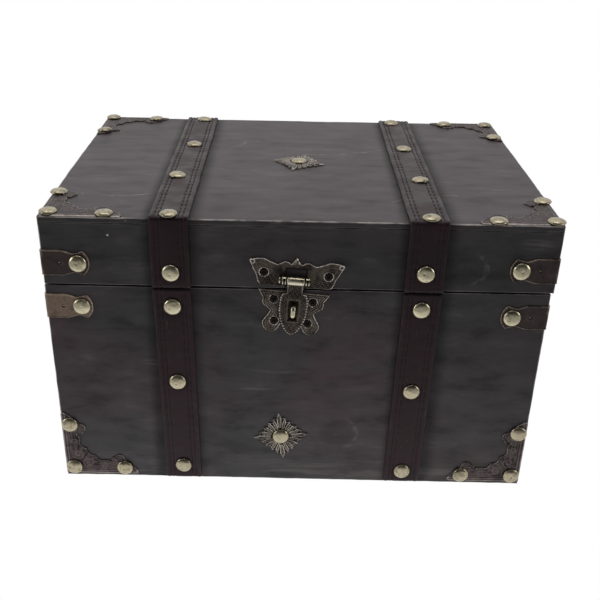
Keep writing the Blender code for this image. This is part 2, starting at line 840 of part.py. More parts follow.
def make_staple(materials, case):
    """A square loop of wire; its two legs go into the front board."""
    place = latch_frame(CASE_FRONT)
    outward = (place.to_3x3() @ Z).normalized()
    up = (place.to_3x3() @ Y).normalized()
    side_on = face_frame(place.to_translation(), outward, up)
    outline = [
        (-STAPLE_IN, STAPLE_TOP),
        (-STAPLE_IN, STAPLE_TOP - STAPLE_WIRE),
        (STAPLE_OUT - STAPLE_WIRE, STAPLE_TOP - STAPLE_WIRE),
        (STAPLE_OUT - STAPLE_WIRE, STAPLE_FOOT + STAPLE_WIRE),
        (-STAPLE_IN, STAPLE_FOOT + STAPLE_WIRE),
        (-STAPLE_IN, STAPLE_FOOT),
        (STAPLE_OUT, STAPLE_FOOT),
        (STAPLE_OUT, STAPLE_TOP),
    ]
    bm = bmesh.new()
    add_prism(bm, outline, -STAPLE_HALF, STAPLE_HALF, side_on)
    add_piece("latch_staple", bm, materials["brass"], case)


# Hinges

def hinge_screw_places(side, part):
    """The two screws of one leaf, on the lid's or the case's back face."""
    up = 1 if part == "lid" else -1
    back = LID_BACK if part == "lid" else CASE_BACK
    z = HINGE_Z + up * HINGE_SCREW_V
    return [on_back(back, side * HINGE_X + u, z) for u in (-HINGE_SCREW_U, HINGE_SCREW_U)]


def leaf_outline(part):
    """A leaf seen from behind: the part beside its own knuckles reaches the pin's axis."""
    inner = KNUCKLE_RADIUS + KNUCKLE_GAP
    middle = HINGE_MIDDLE - KNUCKLE_GAP
    if part == "lid":
        return [
            (-HINGE_HALF, LEAF_HEIGHT),
            (-HINGE_HALF, inner),
            (-middle, inner),
            (-middle, 0),
            (middle, 0),
            (middle, inner),
            (HINGE_HALF, inner),
            (HINGE_HALF, LEAF_HEIGHT),
        ]
    return [
        (-HINGE_HALF, -LEAF_HEIGHT),
        (HINGE_HALF, -LEAF_HEIGHT),
        (HINGE_HALF, 0),
        (HINGE_MIDDLE, 0),
        (HINGE_MIDDLE, -inner),
        (-HINGE_MIDDLE, -inner),
        (-HINGE_MIDDLE, 0),
        (-HINGE_HALF, 0),
    ]


def make_leaf(name, side, part, materials, parent):
    back = LID_BACK if part == "lid" else CASE_BACK
    place = on_back(back, side * HINGE_X, HINGE_Z)
    bm = bmesh.new()
    add_prism(bm, leaf_outline(part), LAYER, LAYER + LEAF_THICK, place)
    leaf = add_piece(name, bm, materials["bronze"], parent)
    along = hinge_frame(side)
    spans = ((-HINGE_HALF, -HINGE_MIDDLE), (HINGE_MIDDLE, HINGE_HALF))
    if part == "lid":
        spans = ((KNUCKLE_GAP - HINGE_MIDDLE, HINGE_MIDDLE - KNUCKLE_GAP),)
    knuckles = bmesh.new()
    for low, high in spans:
        add_rod(knuckles, KNUCKLE_RADIUS, low, high, along, KNUCKLE_SIDES)
    combine(leaf, "knuckles", knuckles, "UNION")
    drill(leaf, "bore", [along], PIN_BORE, -HINGE_HALF - MM, HINGE_HALF + MM)
    screws = bmesh.new()
    for screw in hinge_screw_places(side, part):
        top = LAYER + LEAF_THICK + HINGE_SCREW_HIGH
        profile = (
            (0, -NAIL_REACH),
            (SHANK_RADIUS, -0.8 * NAIL_REACH),
            (SHANK_RADIUS, LAYER + LEAF_THICK / 2),
            (HINGE_SCREW_RADIUS, LAYER + LEAF_THICK / 2),
            (HINGE_SCREW_RADIUS, top),
            (0, top),
        )
        add_lathe(screws, profile, screw)
    combine(leaf, "screws", screws, "UNION")


def make_hinges(materials, case, lid):
    for hand, side in SIDES.items():
        make_leaf(f"hinge_lid_leaf_{hand}", side, "lid", materials, lid)
        make_leaf(f"hinge_case_leaf_{hand}", side, "case", materials, case)
        bm = bmesh.new()
        add_rod(bm, PIN_RADIUS, -HINGE_HALF - MM, HINGE_HALF + MM, hinge_frame(side), KNUCKLE_SIDES)
        shade_round(add_piece(f"hinge_pin_{hand}", bm, materials["bronze"], case))


# Boards

def make_board(name, low, high, holes, materials, parent):
    bm = bmesh.new()
    add_box(bm, low, high)
    board = add_piece(name, bm, materials["wood"], parent)
    if holes:
        nail_holes(board, holes)
    return board


def hinge_holes(part):
    return [place for side in SIDES.values() for place in hinge_screw_places(side, part)]


def make_case_boards(materials, case):
    inner_front = CASE_FRONT + BOARD
    inner_back = CASE_BACK - BOARD
    inner_side = CASE_SIDE - BOARD
    front = [place for hand in SIDES for place in case_strap_nails(hand, "front")]
    front += [bracket_nails("case", hand)[0] for hand in SIDES]
    for side in SIDES.values():
        front += corner_nails(case_corner_frame(side), CASE_CORNER_NAILS)
    front += case_screw_places() + [star_frames()[0]]
    low, high = (-CASE_SIDE, CASE_FRONT, 0), (CASE_SIDE, inner_front, CASE_HEIGHT)
    board = make_board("case_front_board", low, high, front, materials, case)
    cut_staple_holes(board)
    back = [place for hand in SIDES for place in case_strap_nails(hand, "back")] + hinge_holes("case")
    low, high = (-CASE_SIDE, inner_back, 0), (CASE_SIDE, CASE_BACK, CASE_HEIGHT)
    make_board("case_back_board", low, high, back, materials, case)
    for hand, side in SIDES.items():
        near, far = sorted((side * inner_side, side * CASE_SIDE))
        low, high = (near, inner_front + JOINT, 0), (far, inner_back - JOINT, CASE_HEIGHT)
        holes = [bracket_nails("case", hand)[1]]
        make_board(f"case_{hand}_board", low, high, holes, materials, case)
    low = (JOINT - inner_side, inner_front + JOINT, 0)
    high = (inner_side - JOINT, inner_back - JOINT, CASE_PANEL)
    make_board("case_bottom_panel", low, high, [], materials, case)


def make_lid_boards(materials, lid):
    inner_front = LID_FRONT + BOARD
    inner_back = LID_BACK - BOARD
    top = LID_TOP - LID_PANEL - JOINT
    walls = [lid_strap_nails(hand)[0] for hand in SIDES]
    front = [pair[0] for pair in walls] + [bracket_nails("lid", hand)[0] for hand in SIDES]
    front += lid_screw_places().values()
    low, high = (LID_LEFT, LID_FRONT, LID_BOTTOM), (LID_RIGHT, inner_front, top)
    make_board("lid_front_board", low, high, front, materials, lid)
    back = [pair[1] for pair in walls] + hinge_holes("lid")
    low, high = (LID_LEFT, inner_back, LID_BOTTOM), (LID_RIGHT, LID_BACK, top)
    make_board("lid_back_board", low, high, back, materials, lid)
    for hand, outer in (("left", LID_LEFT), ("right", LID_RIGHT)):
        near, far = sorted((outer, outer - SIDES[hand] * BOARD))
        low, high = (near, inner_front + JOINT, LID_BOTTOM), (far, inner_back - JOINT, top)
        make_board(f"lid_{hand}_board", low, high, [bracket_nails("lid", hand)[1]], materials, lid)
    holes = [place for hand in SIDES for place in lid_strap_nails(hand)[1]]
    for face, end in ENDS.items():
        for hand, side in SIDES.items():
            holes += corner_nails(lid_corner_frame(side, end), LID_CORNER_NAILS[f"{face}_{hand}"])
    holes.append(star_frames()[1])
    low, high = (LID_LEFT, LID_FRONT, LID_TOP - LID_PANEL), (LID_RIGHT, LID_BACK, LID_TOP)
    make_board("lid_top_panel", low, high, holes, materials, lid)


def make_trunk():
    materials = make_materials()
    case = add_pivot("case", (0, 0, 0))
    lid = add_pivot("lid_hinge_axis", (0, HINGE_Y, HINGE_Z), case)
    hasp_pivot = add_pivot("hasp_pin_axis", pin_frame()[1], lid)
    make_case_boards(materials, case)
    make_lid_boards(materials, lid)
    make_straps(materials, case, lid)
    for part, parent in (("lid", lid), ("case", case)):
        for hand in SIDES:
            make_bracket(part, hand, materials, parent)
    for hand, side in SIDES.items():
        make_corner(f"case_corner_{hand}", case_corner_frame(side), CASE_CORNER_NAILS, materials, case)
        for face, end in ENDS.items():
            corner = f"{face}_{hand}"
            place = lid_corner_frame(side, end)
            make_corner(f"lid_corner_{corner}", place, LID_CORNER_NAILS[corner], materials, lid)
    front_star, top_star = star_frames()
    make_star("front_star", front_star, materials, case)
    make_star("top_star", top_star, materials, lid)
    make_latch_lid_plate(materials, lid)
    make_latch_pin(materials, lid)
    make_hasp(materials, hasp_pivot)
    make_latch_case_plate(materials, case)
    make_staple(materials, case)
    make_hinges(materials, case, lid)


clear_scene()
make_trunk()
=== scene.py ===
"""The looks of a small trunk: painted wood, stitched leather straps, stamped bronze and brass nails.

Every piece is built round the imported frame, in metres, and rides on one of the frame's bodies.
On a face, U runs across it, V up it and W out of it. Stamped plates are drawn in millimetres.
"""

import json
import math

import bmesh
import bpy
import numpy as np
from mathutils import Matrix, Vector, geometry

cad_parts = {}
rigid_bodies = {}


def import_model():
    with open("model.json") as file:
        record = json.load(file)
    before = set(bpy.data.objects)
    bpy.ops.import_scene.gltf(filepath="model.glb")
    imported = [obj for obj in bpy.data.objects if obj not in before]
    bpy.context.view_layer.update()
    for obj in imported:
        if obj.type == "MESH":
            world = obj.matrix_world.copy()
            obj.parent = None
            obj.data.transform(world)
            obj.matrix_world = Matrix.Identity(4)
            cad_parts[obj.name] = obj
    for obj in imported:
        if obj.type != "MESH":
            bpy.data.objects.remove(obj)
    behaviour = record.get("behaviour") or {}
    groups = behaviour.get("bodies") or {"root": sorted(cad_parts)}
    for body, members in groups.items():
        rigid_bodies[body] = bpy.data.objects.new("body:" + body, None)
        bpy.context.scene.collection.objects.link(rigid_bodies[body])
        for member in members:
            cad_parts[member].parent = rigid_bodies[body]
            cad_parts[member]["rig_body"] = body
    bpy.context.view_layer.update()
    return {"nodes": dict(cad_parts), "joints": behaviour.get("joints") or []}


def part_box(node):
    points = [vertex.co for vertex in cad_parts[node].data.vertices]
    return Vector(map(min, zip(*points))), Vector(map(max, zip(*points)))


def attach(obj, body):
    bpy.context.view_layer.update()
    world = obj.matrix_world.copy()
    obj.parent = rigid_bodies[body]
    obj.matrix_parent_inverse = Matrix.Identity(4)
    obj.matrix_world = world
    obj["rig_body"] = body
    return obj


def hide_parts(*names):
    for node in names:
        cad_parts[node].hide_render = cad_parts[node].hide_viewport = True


MM = 0.001
X = Vector((1, 0, 0))
Y = Vector((0, 1, 0))
Z = Vector((0, 0, 1))
HANDS = {"left": -1, "right": 1}
UPRIGHT_BOARDS = ("front_board", "back_board", "left_board", "right_board")

# Wood
EDGE_ROUND = 0.8 * MM           # rounding of the case's and the lid's outer edges
JOINT_ROUND = 0.35 * MM         # rounding where two boards meet
EDGE_LINES = (0, 0.08, 0.18, 0.3, 0.5, 0.75, 1.0)   # the grid's lines beside a board's edge, in millimetres
# Wear of the boards' edges: on the outer edges and at the seam it is rubbed paint and a painted highlight
# together
EDGE_WEAR_AND_HIGHLIGHT = 1.0
SEAM_WEAR_AND_HIGHLIGHT = 0.6
JOINT_WEAR = 0.3
FLUSH = 0.4 * MM                # a board's face this close to the outside is part of it
BOARD_CELL = 6 * MM
BOARD_WAVE = 0.10 * MM

# Straps, across their width, in millimetres: distance from the middle, height above the wood
STRAP_SECTION = (
    (0.0, 1.62), (4.7, 1.56), (5.8, 1.24), (7.0, 1.50),
    (8.2, 1.24), (9.6, 1.66), (10.8, 1.45), (11.4, 0.95),
)
STRAP_COLUMNS = (0, 1.6, 3.2, 4.3, 4.9, 5.3, 5.8, 6.3, 6.7, 7.0)
STRAP_COLUMNS += (7.35, 7.75, 8.2, 8.7, 9.2, 9.7, 10.3, 10.8, 11.15, 11.4)
STRAP_RUB = ((0, 0.45), (4.6, 0.5), (5.4, 0.0), (7.0, 0.42))      # distance from the middle, wear
STRAP_RUB += ((8.4, 0.0), (9.8, 0.6), (10.8, 0.95), (11.4, 0.2))
STRAP_LOW = 0.25                # its back, which is a little way out of the wood
STRAP_SWAY = 0.16               # how far its edges wander
STRAP_SWELL = 0.012             # how much its width varies, as a share
STRAP_END_ROUND = 0.9
NAIL_PRESS = 0.25               # how deep the leather is pressed beside a nail's head
NAIL_PRESS_REACH = (4.6, 2.2)   # where that starts, from the nail's middle, and how far it spreads
STITCH_ROWS = (5.8, 8.2)
STITCH_PITCH = 6.0
STITCH_LENGTH = 4.7
STITCH_RADIUS = 0.3
STITCH_HIGH = 1.12
STITCH_HOLE = 0.6               # depth of a stitch hole on top of the lid
# on a front or back a stitch hole's painted shade is weaker by the same share
LOOSE_HOLE = 0.3                # depth of one on a front or back, as a share of that
STITCH_END = 1.2                # room between a strap's end and its last stitch
STRAP_STEP = 0.5 * MM

# Nails
HEAD_RADIUS = 5.25
HEAD_HEIGHT = 1.9
NAIL_TURNS = (0, 7, 14, 22, 30, 38, 46, 54, 62, 69, 76, 81, 84, 86, 88, 90)
NAIL_TILT = 0.025
NAIL_DENTS = (0.0, 0.25, 0.5)
NAIL_TOP_WEAR = 0.33
NAIL_HEIGHTS = (0.02, 0.14)     # nails are brighter towards the seam, where hands rub them
NAIL_FRONT_WEAR = (0.36, 1.0)

# Camera
CAMERA_SPOT = (-0.0061, -0.5732, 0.3613)
CAMERA_PITCH = math.radians(28.49)
CAMERA_YAW = math.radians(0.447)
CAMERA_ROLL = math.radians(0.962)
CAMERA_LENS = 52.39
CAMERA_SHIFT = (0.0333, 0.0583)


# Frames, outlines and noise

def face_frame(origin, across, up):
    """U runs along across, V along up, and W is U cross V, which points out of the face."""
    across, up = Vector(across).normalized(), Vector(up).normalized()
    matrix = Matrix((across, up, across.cross(up))).transposed().to_4x4()
    return Matrix.Translation(origin) @ matrix


def facing(origin, outward):
    """A frame whose W points outward, with V as nearly up as it can be."""
    outward = Vector(outward)
    up = Y if abs(outward.z) > 0.9 else Z
    return face_frame(origin, up.cross(outward), up)


def flat(matrix):
    """A map from (u, v, w) in a flat face's frame to points."""
    turn = np.array(matrix.to_3x3())
    origin = np.array(matrix.translation)

    def place(u, v, w):
        return origin + np.column_stack([a.ravel() for a in np.broadcast_arrays(u, v, w)]) @ turn.T

    return place


def bent(path, normals, across, radius):
    """A map from (travel, sideways, out) to points on a path with rounded square bends."""
    path = np.array(path, float)
    normals = np.array(normals, float)
    across = np.array(across, float)
    legs = np.diff(path, axis=0)
    lengths = np.linalg.norm(legs, axis=1)
    starts = np.concatenate(([0.0], np.cumsum(lengths)))

    def place(s, h, w):
        s, h, w = (a.ravel() for a in np.broadcast_arrays(s, h, w))
        leg = np.clip(np.searchsorted(starts, s) - 1, 0, len(legs) - 1)
        spot = path[leg] + legs[leg] * ((s - starts[leg]) / lengths[leg])[:, None]
        out = normals[leg]
        for k in range(1, len(legs)):
            near = np.abs(s - starts[k]) < radius
            angle = (s[near] - starts[k] + radius) / radius * math.pi / 4
            turned = np.outer(np.cos(angle), normals[k - 1]) + np.outer(np.sin(angle), normals[k])
            spot[near] = path[k] - radius * (normals[k - 1] + normals[k]) + radius * turned
            out[near] = turned
        return spot + out * w[:, None] + np.outer(h, across)

    return place, starts


def traced(corners, steps=8):
    """A closed outline through (x, y, bow) corners; a bowed line becomes short chords."""
    points = []
    for i, (x, y, bow) in enumerate(corners):
        start = np.array((x, y))
        end = np.array(corners[(i + 1) % len(corners)][:2])
        outward = np.array((end[1] - start[1], start[0] - end[0]))
        count = steps if bow else 1
        for k in range(count):
            t = k / count
            points.append(start + (end - start) * t + outward * (4 * bow * t * (1 - t)))
    return np.array(points)


def whole(half, mirror):
    """Both halves of a symmetric outline. mirror gives a point's twin."""
    twins = []
    for i in reversed(range(len(half))):
        x, y, _ = half[i]
        if mirror(x, y) != (x, y):
            twins.append((*mirror(x, y), half[i - 1][2] if i else 0.0))
    return tuple(half) + tuple(twins)


def left_right(x, y):
    return -x, y


def across_diagonal(x, y):
    return y, x


def turns(count):
    """The angles of points that are spaced evenly round a circle."""
    return np.arange(count) * math.tau / count


def circle(u, v, radius, sides=28):
    angles = turns(sides)
    return np.column_stack((u + radius * np.cos(angles), v + radius * np.sin(angles)))


def rectangle(low, high):
    return np.array((low, (high[0], low[1]), high, (low[0], high[1])), float)


def spaced(loop, step):
    """The same closed outline with no line longer than step."""
    points = []
    for start, end in zip(loop, np.roll(loop, -1, axis=0)):
        count = max(1, math.ceil(np.linalg.norm(end - start) / step))
        points += [start + (end - start) * k / count for k in range(count)]
    return np.array(points)


def nearest(points, loop):
    """Each point's distance to a closed outline, and how far round the outline that place is."""
    lines = np.roll(loop, -1, axis=0) - loop
    lengths = np.linalg.norm(lines, axis=1)
    away = points[:, None] - loop
    share = np.clip((away * lines).sum(2) / lengths**2, 0, 1)
    gaps = np.linalg.norm(away - share[..., None] * lines, axis=2)
    best = gaps.argmin(axis=1)
    rows = np.arange(len(points))
    travel = np.concatenate(([0.0], np.cumsum(lengths)[:-1]))[best] + share[rows, best] * lengths[best]
    return gaps[rows, best], travel


def inside(points, loop):
    """Which points lie inside a closed outline."""
    x, y = points[:, :1], points[:, 1:]
    x0, y0 = loop.T
    x1, y1 = np.roll(loop, -1, axis=0).T
    rise = np.where(y1 == y0, 1.0, y1 - y0)
    crossed = ((y0 > y) != (y1 > y)) & (x < (x1 - x0) * (y - y0) / rise + x0)
    return crossed.sum(axis=1) % 2 == 1


def ripple(points, size, seed, waves=14):
    """Smooth noise between about -1 and 1, whose waves are about size long."""
    rng = np.random.default_rng(seed)
    total = np.zeros(len(points))
    for _ in range(waves):
        direction = rng.normal(size=points.shape[1])
        direction /= np.linalg.norm(direction) * size * rng.uniform(0.6, 1.7)
        total += np.sin(math.tau * (points @ direction + rng.uniform()))
    return total * math.sqrt(2 / waves) / 2


def ease(value, low, high):
    """0 below low, 1 above high, and smooth between."""
    t = np.clip((value - low) / (high - low), 0, 1)
    return t * t * (3 - 2 * t)


def ridge(distance, width):
    return np.exp(-((distance / width) ** 2))


# Shapes

class Shape:
    """The points, faces and wear of a piece that is being built. Wear is 0 in hollows, 1 on rubbed edges; on
    some pieces it also carries painted shade or a painted highlight.
    """

    def __init__(self):
        self.points = np.zeros((0, 3))
        self.wear = np.zeros(0)
        self.faces = []

    def add(self, points, faces, wear):
        start = len(self.points)
        self.points = np.vstack((self.points, points))
        self.wear = np.concatenate((self.wear, np.broadcast_to(wear, len(points))))
        self.faces += [[start + i for i in face] for face in faces]


def add_object(name, data):
    obj = bpy.data.objects.new(name, data)
    bpy.context.scene.collection.objects.link(obj)
    return obj


def add_piece(name, shape, material, node, sharp=35):
    """A finished piece, which stands for the CAD node and rides on its body."""
    mesh = bpy.data.meshes.new(name)
    mesh.from_pydata(shape.points.tolist(), [], shape.faces)
    bm = bmesh.new()
    bm.from_mesh(mesh)
    bmesh.ops.recalc_face_normals(bm, faces=bm.faces)
    bm.to_mesh(mesh)
    bm.free()
    mesh.attributes.new("wear", "FLOAT", "POINT").data.foreach_set("value", shape.wear.astype(np.float32))
    mesh.shade_smooth()
    mesh.set_sharp_from_angle(angle=math.radians(sharp))
    made, slot = MATERIALS[material]
    mesh.materials.append(made)
    obj = add_object(name, mesh)
    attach(obj, frame["nodes"][node]["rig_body"])
    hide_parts(node)


def loft(shape, rings, wear):
    """A closed skin through rings of points: an array of (rings, points in a ring, 3)."""
    count, sides = rings.shape[:2]
    faces = [list(range(sides)), list(range((count - 1) * sides, count * sides))]
    for r in range(count - 1):
        for i in range(sides):
            j = (i + 1) % sides
            faces.append((r * sides + i, r * sides + j, (r + 1) * sides + j, (r + 1) * sides + i))
    shape.add(rings.reshape(-1, 3), faces, wear)


def placed_loft(shape, place, u, v, w, wear=0.0):
    """A closed skin through rings given in a place function's own millimetres: arrays of (ring, point)."""
    loft(shape, place(u * MM, v * MM, w * MM).reshape(*w.shape, 3), wear)


def lathe(shape, profile, place, sides, wear, dent=None):
    """A solid turned about W, from (radius, w) points in millimetres. dent(u, v) lowers its face.

    wear is one value, one for each ring, or one for each ring and side.
    """
    radii, heights = np.maximum(np.array(profile, float).T, ((0.03,), (-1e9,)))
    angles = turns(sides)
    u = np.outer(radii, np.cos(angles))
    v = np.outer(radii, np.sin(angles))
    w = np.repeat(heights[:, None], sides, axis=1)
    if dent:
        w = w - dent(u, v)
    wear = np.array(wear, float)
    if wear.ndim == 1:
        wear = wear[:, None]
    placed_loft(shape, place, u, v, w, np.broadcast_to(wear, u.shape).ravel())


def turned_piece(name, node, material, profile, place, sides, wear, dent=None):
    """A finished piece of one turned solid."""
    shape = Shape()
    lathe(shape, profile, place, sides, wear, dent)
    add_piece(name, shape, material, node)


def sweep(shape, path, across, section, wear):
    """A wire along a flat path. section gives (beside, out) points; across is normal to the path's plane."""
    path = np.array(path, float)
    tangents = np.gradient(path, axis=0)
    tangents /= np.linalg.norm(tangents, axis=1)[:, None]
    across = np.array(across, float)
    outs = np.cross(tangents, across)
    beside, out = np.array(section, float).T
    rings = path[:, None] + beside[None, :, None] * across + out[None, :, None] * outs[:, None]
    loft(shape, rings, wear)


def triangles(points, loops):
    """Triangles that fill the first loop and leave out the others. The loops' points come first."""
    edges = []
    start = 0
    for loop in loops:
        count = len(loop)
        edges += [(start + i, start + (i + 1) % count) for i in range(count)]
        start += count
    spots = [Vector(p) for p in points]
    faces = np.array(geometry.delaunay_2d_cdt(spots, edges, [], 0, 1e-7)[2])
    middles = points[faces].mean(axis=1)
    kept = inside(middles, loops[0])
    for hole in loops[1:]:
        kept &= ~inside(middles, hole)
    return faces[kept], edges


PLATE_LOW = 0.1                 # height of a plate's back above the wood
WALL_WEAR = 0.8                 # wear of a stamped plate's sides


def stamp(outline, relief, cell, holes=()):
    """A stamped plate's mesh in millimetres: points, heights, wear, rim, faces of top and back, and edges.

    relief(u, v, gap, travel) gives the face's height and wear; gap is the distance to the outline
    and travel the way round it.
    """
    loops = [spaced(loop, cell) for loop in (outline, *holes)]
    rim = np.vstack(loops)
    (u0, v0), (u1, v1) = rim.min(axis=0), rim.max(axis=0)
    columns, rows = np.meshgrid(np.arange(u0, u1, cell), np.arange(v0, v1, cell))
    columns = columns + (np.arange(len(rows)) % 2)[:, None] * cell / 2
    spots = np.column_stack((columns.ravel(), rows.ravel()))
    spots = spots[inside(spots, outline)]
    for loop in (outline, *holes):
        spots = spots[nearest(spots, loop)[0] > 0.6 * cell]
    for hole in holes:
        spots = spots[~inside(spots, hole)]
    points = np.vstack((rim, spots))
    faces, edges = triangles(points, loops)
    back, _ = triangles(rim, loops)
    gap, travel = nearest(points, outline)
    height, wear = relief(*points.T, gap, travel)
    for hole in holes:
        height = height - 0.25 * ridge(nearest(points, hole)[0], 0.3)
    return points, height, wear, rim, faces, back, edges


def emboss(shape, stamping, place, low, wall_wear_and_shade=WALL_WEAR):
    """Adds a stamped plate. low is the height of its back in millimetres. Its sides take the wall wear, which
    on the corner plates is painted shade.
    """
    points, height, wear, rim, faces, back, edges = stamping
    top = place(*(points.T * MM), height * MM)
    under = place(*(rim.T * MM), np.full(len(rim), low * MM))
    start = len(points)
    walls = [(i, j, start + j, start + i) for i, j in edges]
    everything = faces.tolist() + (back + start).tolist() + walls
    shape.add(np.vstack((top, under)), everything, np.concatenate((wear, np.full(len(rim), wall_wear_and_shade))))


def stamped_piece(name, node, material, stamping, place, low=PLATE_LOW, wall_wear_and_shade=WALL_WEAR):
    """A finished piece of one stamped plate."""
    shape = Shape()
    emboss(shape, stamping, place, low, wall_wear_and_shade)
    add_piece(name, shape, material, node)


# What the frame says

def box_of(*nodes):
    """The box round several CAD nodes, as two arrays."""
    boxes = [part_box(node) for node in nodes]
    return np.min([low for low, _ in boxes], axis=0), np.max([high for _, high in boxes], axis=0)


def corners_of(node):
    return np.array([v.co for v in frame["nodes"][node].data.vertices])


def middle_of(node):
    """The middle of a CAD node's box."""
    low, high = box_of(node)
    return (low + high) / 2


def joint(name):
    return next(found for found in frame["joints"] if found["name"] == name)


def tips(node, outward):
    """The tops of a nail group's heads on one face: its outermost points, from left to right or up."""
    points = corners_of(node)
    height = points @ np.array(outward)
    best = points[height > height.max() - 0.02 * MM]
    found = sorted({tuple(np.round(p, 5)) for p in best.tolist()})
    return [Vector(p) for p in found]


# Boards

def side_lines(low, high):
    """Grid lines across one side of a board, close together where its edges are rounded."""
    fine = np.array(EDGE_LINES) * MM
    count = max(1, round((high - low - 2 * fine[-1]) / BOARD_CELL))
    middle = np.linspace(low + fine[-1], high - fine[-1], count + 1)[1:-1]
    return np.concatenate((low + fine, middle, high - fine[::-1]))


def board_skin(lines):
    """The grid's outer points and faces."""
    sizes = [len(line) for line in lines]
    index = {}

    def corner(spot):
        return index.setdefault(spot, len(index))

    faces = []
    for axis in range(3):
        a, b = [k for k in range(3) if k != axis]
        for end in (0, sizes[axis] - 1):
            for i in range(sizes[a] - 1):
                for j in range(sizes[b] - 1):
                    face = []
                    for di, dj in ((0, 0), (1, 0), (1, 1), (0, 1)):
                        spot = [0, 0, 0]
                        spot[axis], spot[a], spot[b] = end, i + di, j + dj
                        face.append(corner(tuple(spot)))
                    faces.append(face)
    points = np.array([[lines[k][spot[k]] for k in range(3)] for spot in index])
    return points, faces


def round_edges(points, side, ends, outer, seam, radius_share):
    """The points, moved onto the rounded edges of their board, and the wear of each, which on the outer edges
    and at the seam is also a painted highlight.
    """
    moved = points.copy()
    wear = np.zeros(len(points))
    for pair in ([0, 1], [0, 2], [1, 2]):
        both = outer[:, pair].all(axis=1)
        radius = np.where(both[:, None], EDGE_ROUND * radius_share, JOINT_ROUND)
        centres = ends[:, pair] - side[:, pair] * radius
        away = (points[:, pair] - centres) * side[:, pair]
        turned = (away > 0).all(axis=1)
        length = np.linalg.norm(away, axis=1)[:, None] + 1e-12
        rounded = centres + side[:, pair] * away / length * radius
        moved[np.ix_(turned, pair)] += (rounded - points[:, pair])[turned]
        share = np.clip(away.min(axis=1) / radius[:, 0] * 1.8, 0, 1)
        # on the outer edges and at the seam this wear is also a painted highlight
        rubbed = np.where(both, EDGE_WEAR_AND_HIGHLIGHT, np.where(seam, SEAM_WEAR_AND_HIGHLIGHT, JOINT_WEAR))
        wear = np.maximum(wear, np.where(turned, share * rubbed, 0))
    return moved, wear


def make_board(node, whole_box, seam_side, material, seed):
    """A board with rounded, rubbed edges where it is the outside of the case or lid, but not at the seam;
    these edges and the seam also carry a painted highlight.
    """
    low, high = box_of(node)
    points, faces = board_skin([side_lines(low[k], high[k]) for k in range(3)])
    side = np.sign(points - (low + high) / 2)
    outer_ends = np.where(side > 0, whole_box[1], whole_box[0])
    ends = np.where(side > 0, high, low)
    outer = np.abs(outer_ends - ends) < FLUSH
    seam = outer[:, 2] & (side[:, 2] == seam_side)
    outer[:, 2] &= ~seam
    uneven = np.clip(1 + 0.35 * ripple(points, 9 * MM, seed)[:, None], 0.6, 1.4)
    moved, wear = round_edges(points, side, ends, outer, seam, uneven)
    moved += side * BOARD_WAVE * np.minimum(ripple(points, 45 * MM, seed + 1), 0)[:, None]
    shape = Shape()
    shape.add(moved, faces, wear)
    add_piece(f"{node}_wood", shape, material, node, sharp=50)


def make_boards():
    for part, flat_board, seam_side in (("case", "bottom_panel", 1), ("lid", "top_panel", -1)):
        nodes = [f"{part}_{name}" for name in (*UPRIGHT_BOARDS, flat_board)]
        around = box_of(*nodes)
        for seed, node in enumerate(nodes):
            sideways = node.endswith(("left_board", "right_board"))
            make_board(node, around, seam_side, "wood_side" if sideways else "wood", 10 * seed + len(part))


# Straps

def strap_height(across, travel, shift):
    """The strap's face in millimetres, and how deep each point lies in a stitch hole, from 0 to 1."""
    spots, heights = np.array(STRAP_SECTION).T
    near = np.abs(across)
    k = np.clip(np.searchsorted(spots, near) - 1, 0, len(spots) - 2)
    t = ease(near, spots[k], spots[k + 1])
    height = heights[k] + (heights[k + 1] - heights[k]) * t
    phase = (travel / STITCH_PITCH + shift) % 1.0
    along = ridge(np.minimum(phase, 1 - phase) * STITCH_PITCH, 0.8)
    hole = np.zeros(across.shape)
    for row in STITCH_ROWS:
        hole = np.maximum(hole, along * ridge(near - row, 0.55))
    return height - STITCH_HOLE * hole, hole


def strap_face(travel, across, nails, seed, top_run):
    """The height and the wear of a strap's face, for points at travel (m) and across (mm). In the stitch
    holes the wear drops below 0, which paints shade there.
    """
    spots = np.column_stack((travel.ravel(), across.ravel() * MM))
    soft = ripple(spots, 26 * MM, seed).reshape(travel.shape)
    fine = ripple(spots, 7 * MM, seed + 1).reshape(travel.shape)
    tight = ease(travel, top_run[0], top_run[0] + 2 * MM) - ease(travel, top_run[1] - 2 * MM, top_run[1])
    height, hole = strap_height(across, travel / MM, row_shift(seed))
    height += STITCH_HOLE * (1 - LOOSE_HOLE) * hole * (1 - tight)
    hole *= LOOSE_HOLE + (1 - LOOSE_HOLE) * tight
    height += 0.07 * soft + 0.04 * fine
    for nail_travel, nail_across in nails:
        away = np.hypot(travel - nail_travel, across * MM - nail_across) / MM
        height -= NAIL_PRESS * ridge(np.maximum(away - NAIL_PRESS_REACH[0], 0), NAIL_PRESS_REACH[1])
    to_end = np.minimum(travel, travel.max() - travel) / MM
    height -= 0.6 * (1 - ease(to_end, 0, STRAP_END_ROUND)) * ease(height, 0.6, 1.4)
    rub = np.interp(np.abs(across), *np.array(STRAP_RUB).T) * (0.8 + 0.4 * fine)
    # stitch holes push the wear below 0, which the leather paints as shade
    return height, np.clip(rub, 0, 1) - hole * (0.75 + 0.25 * soft)


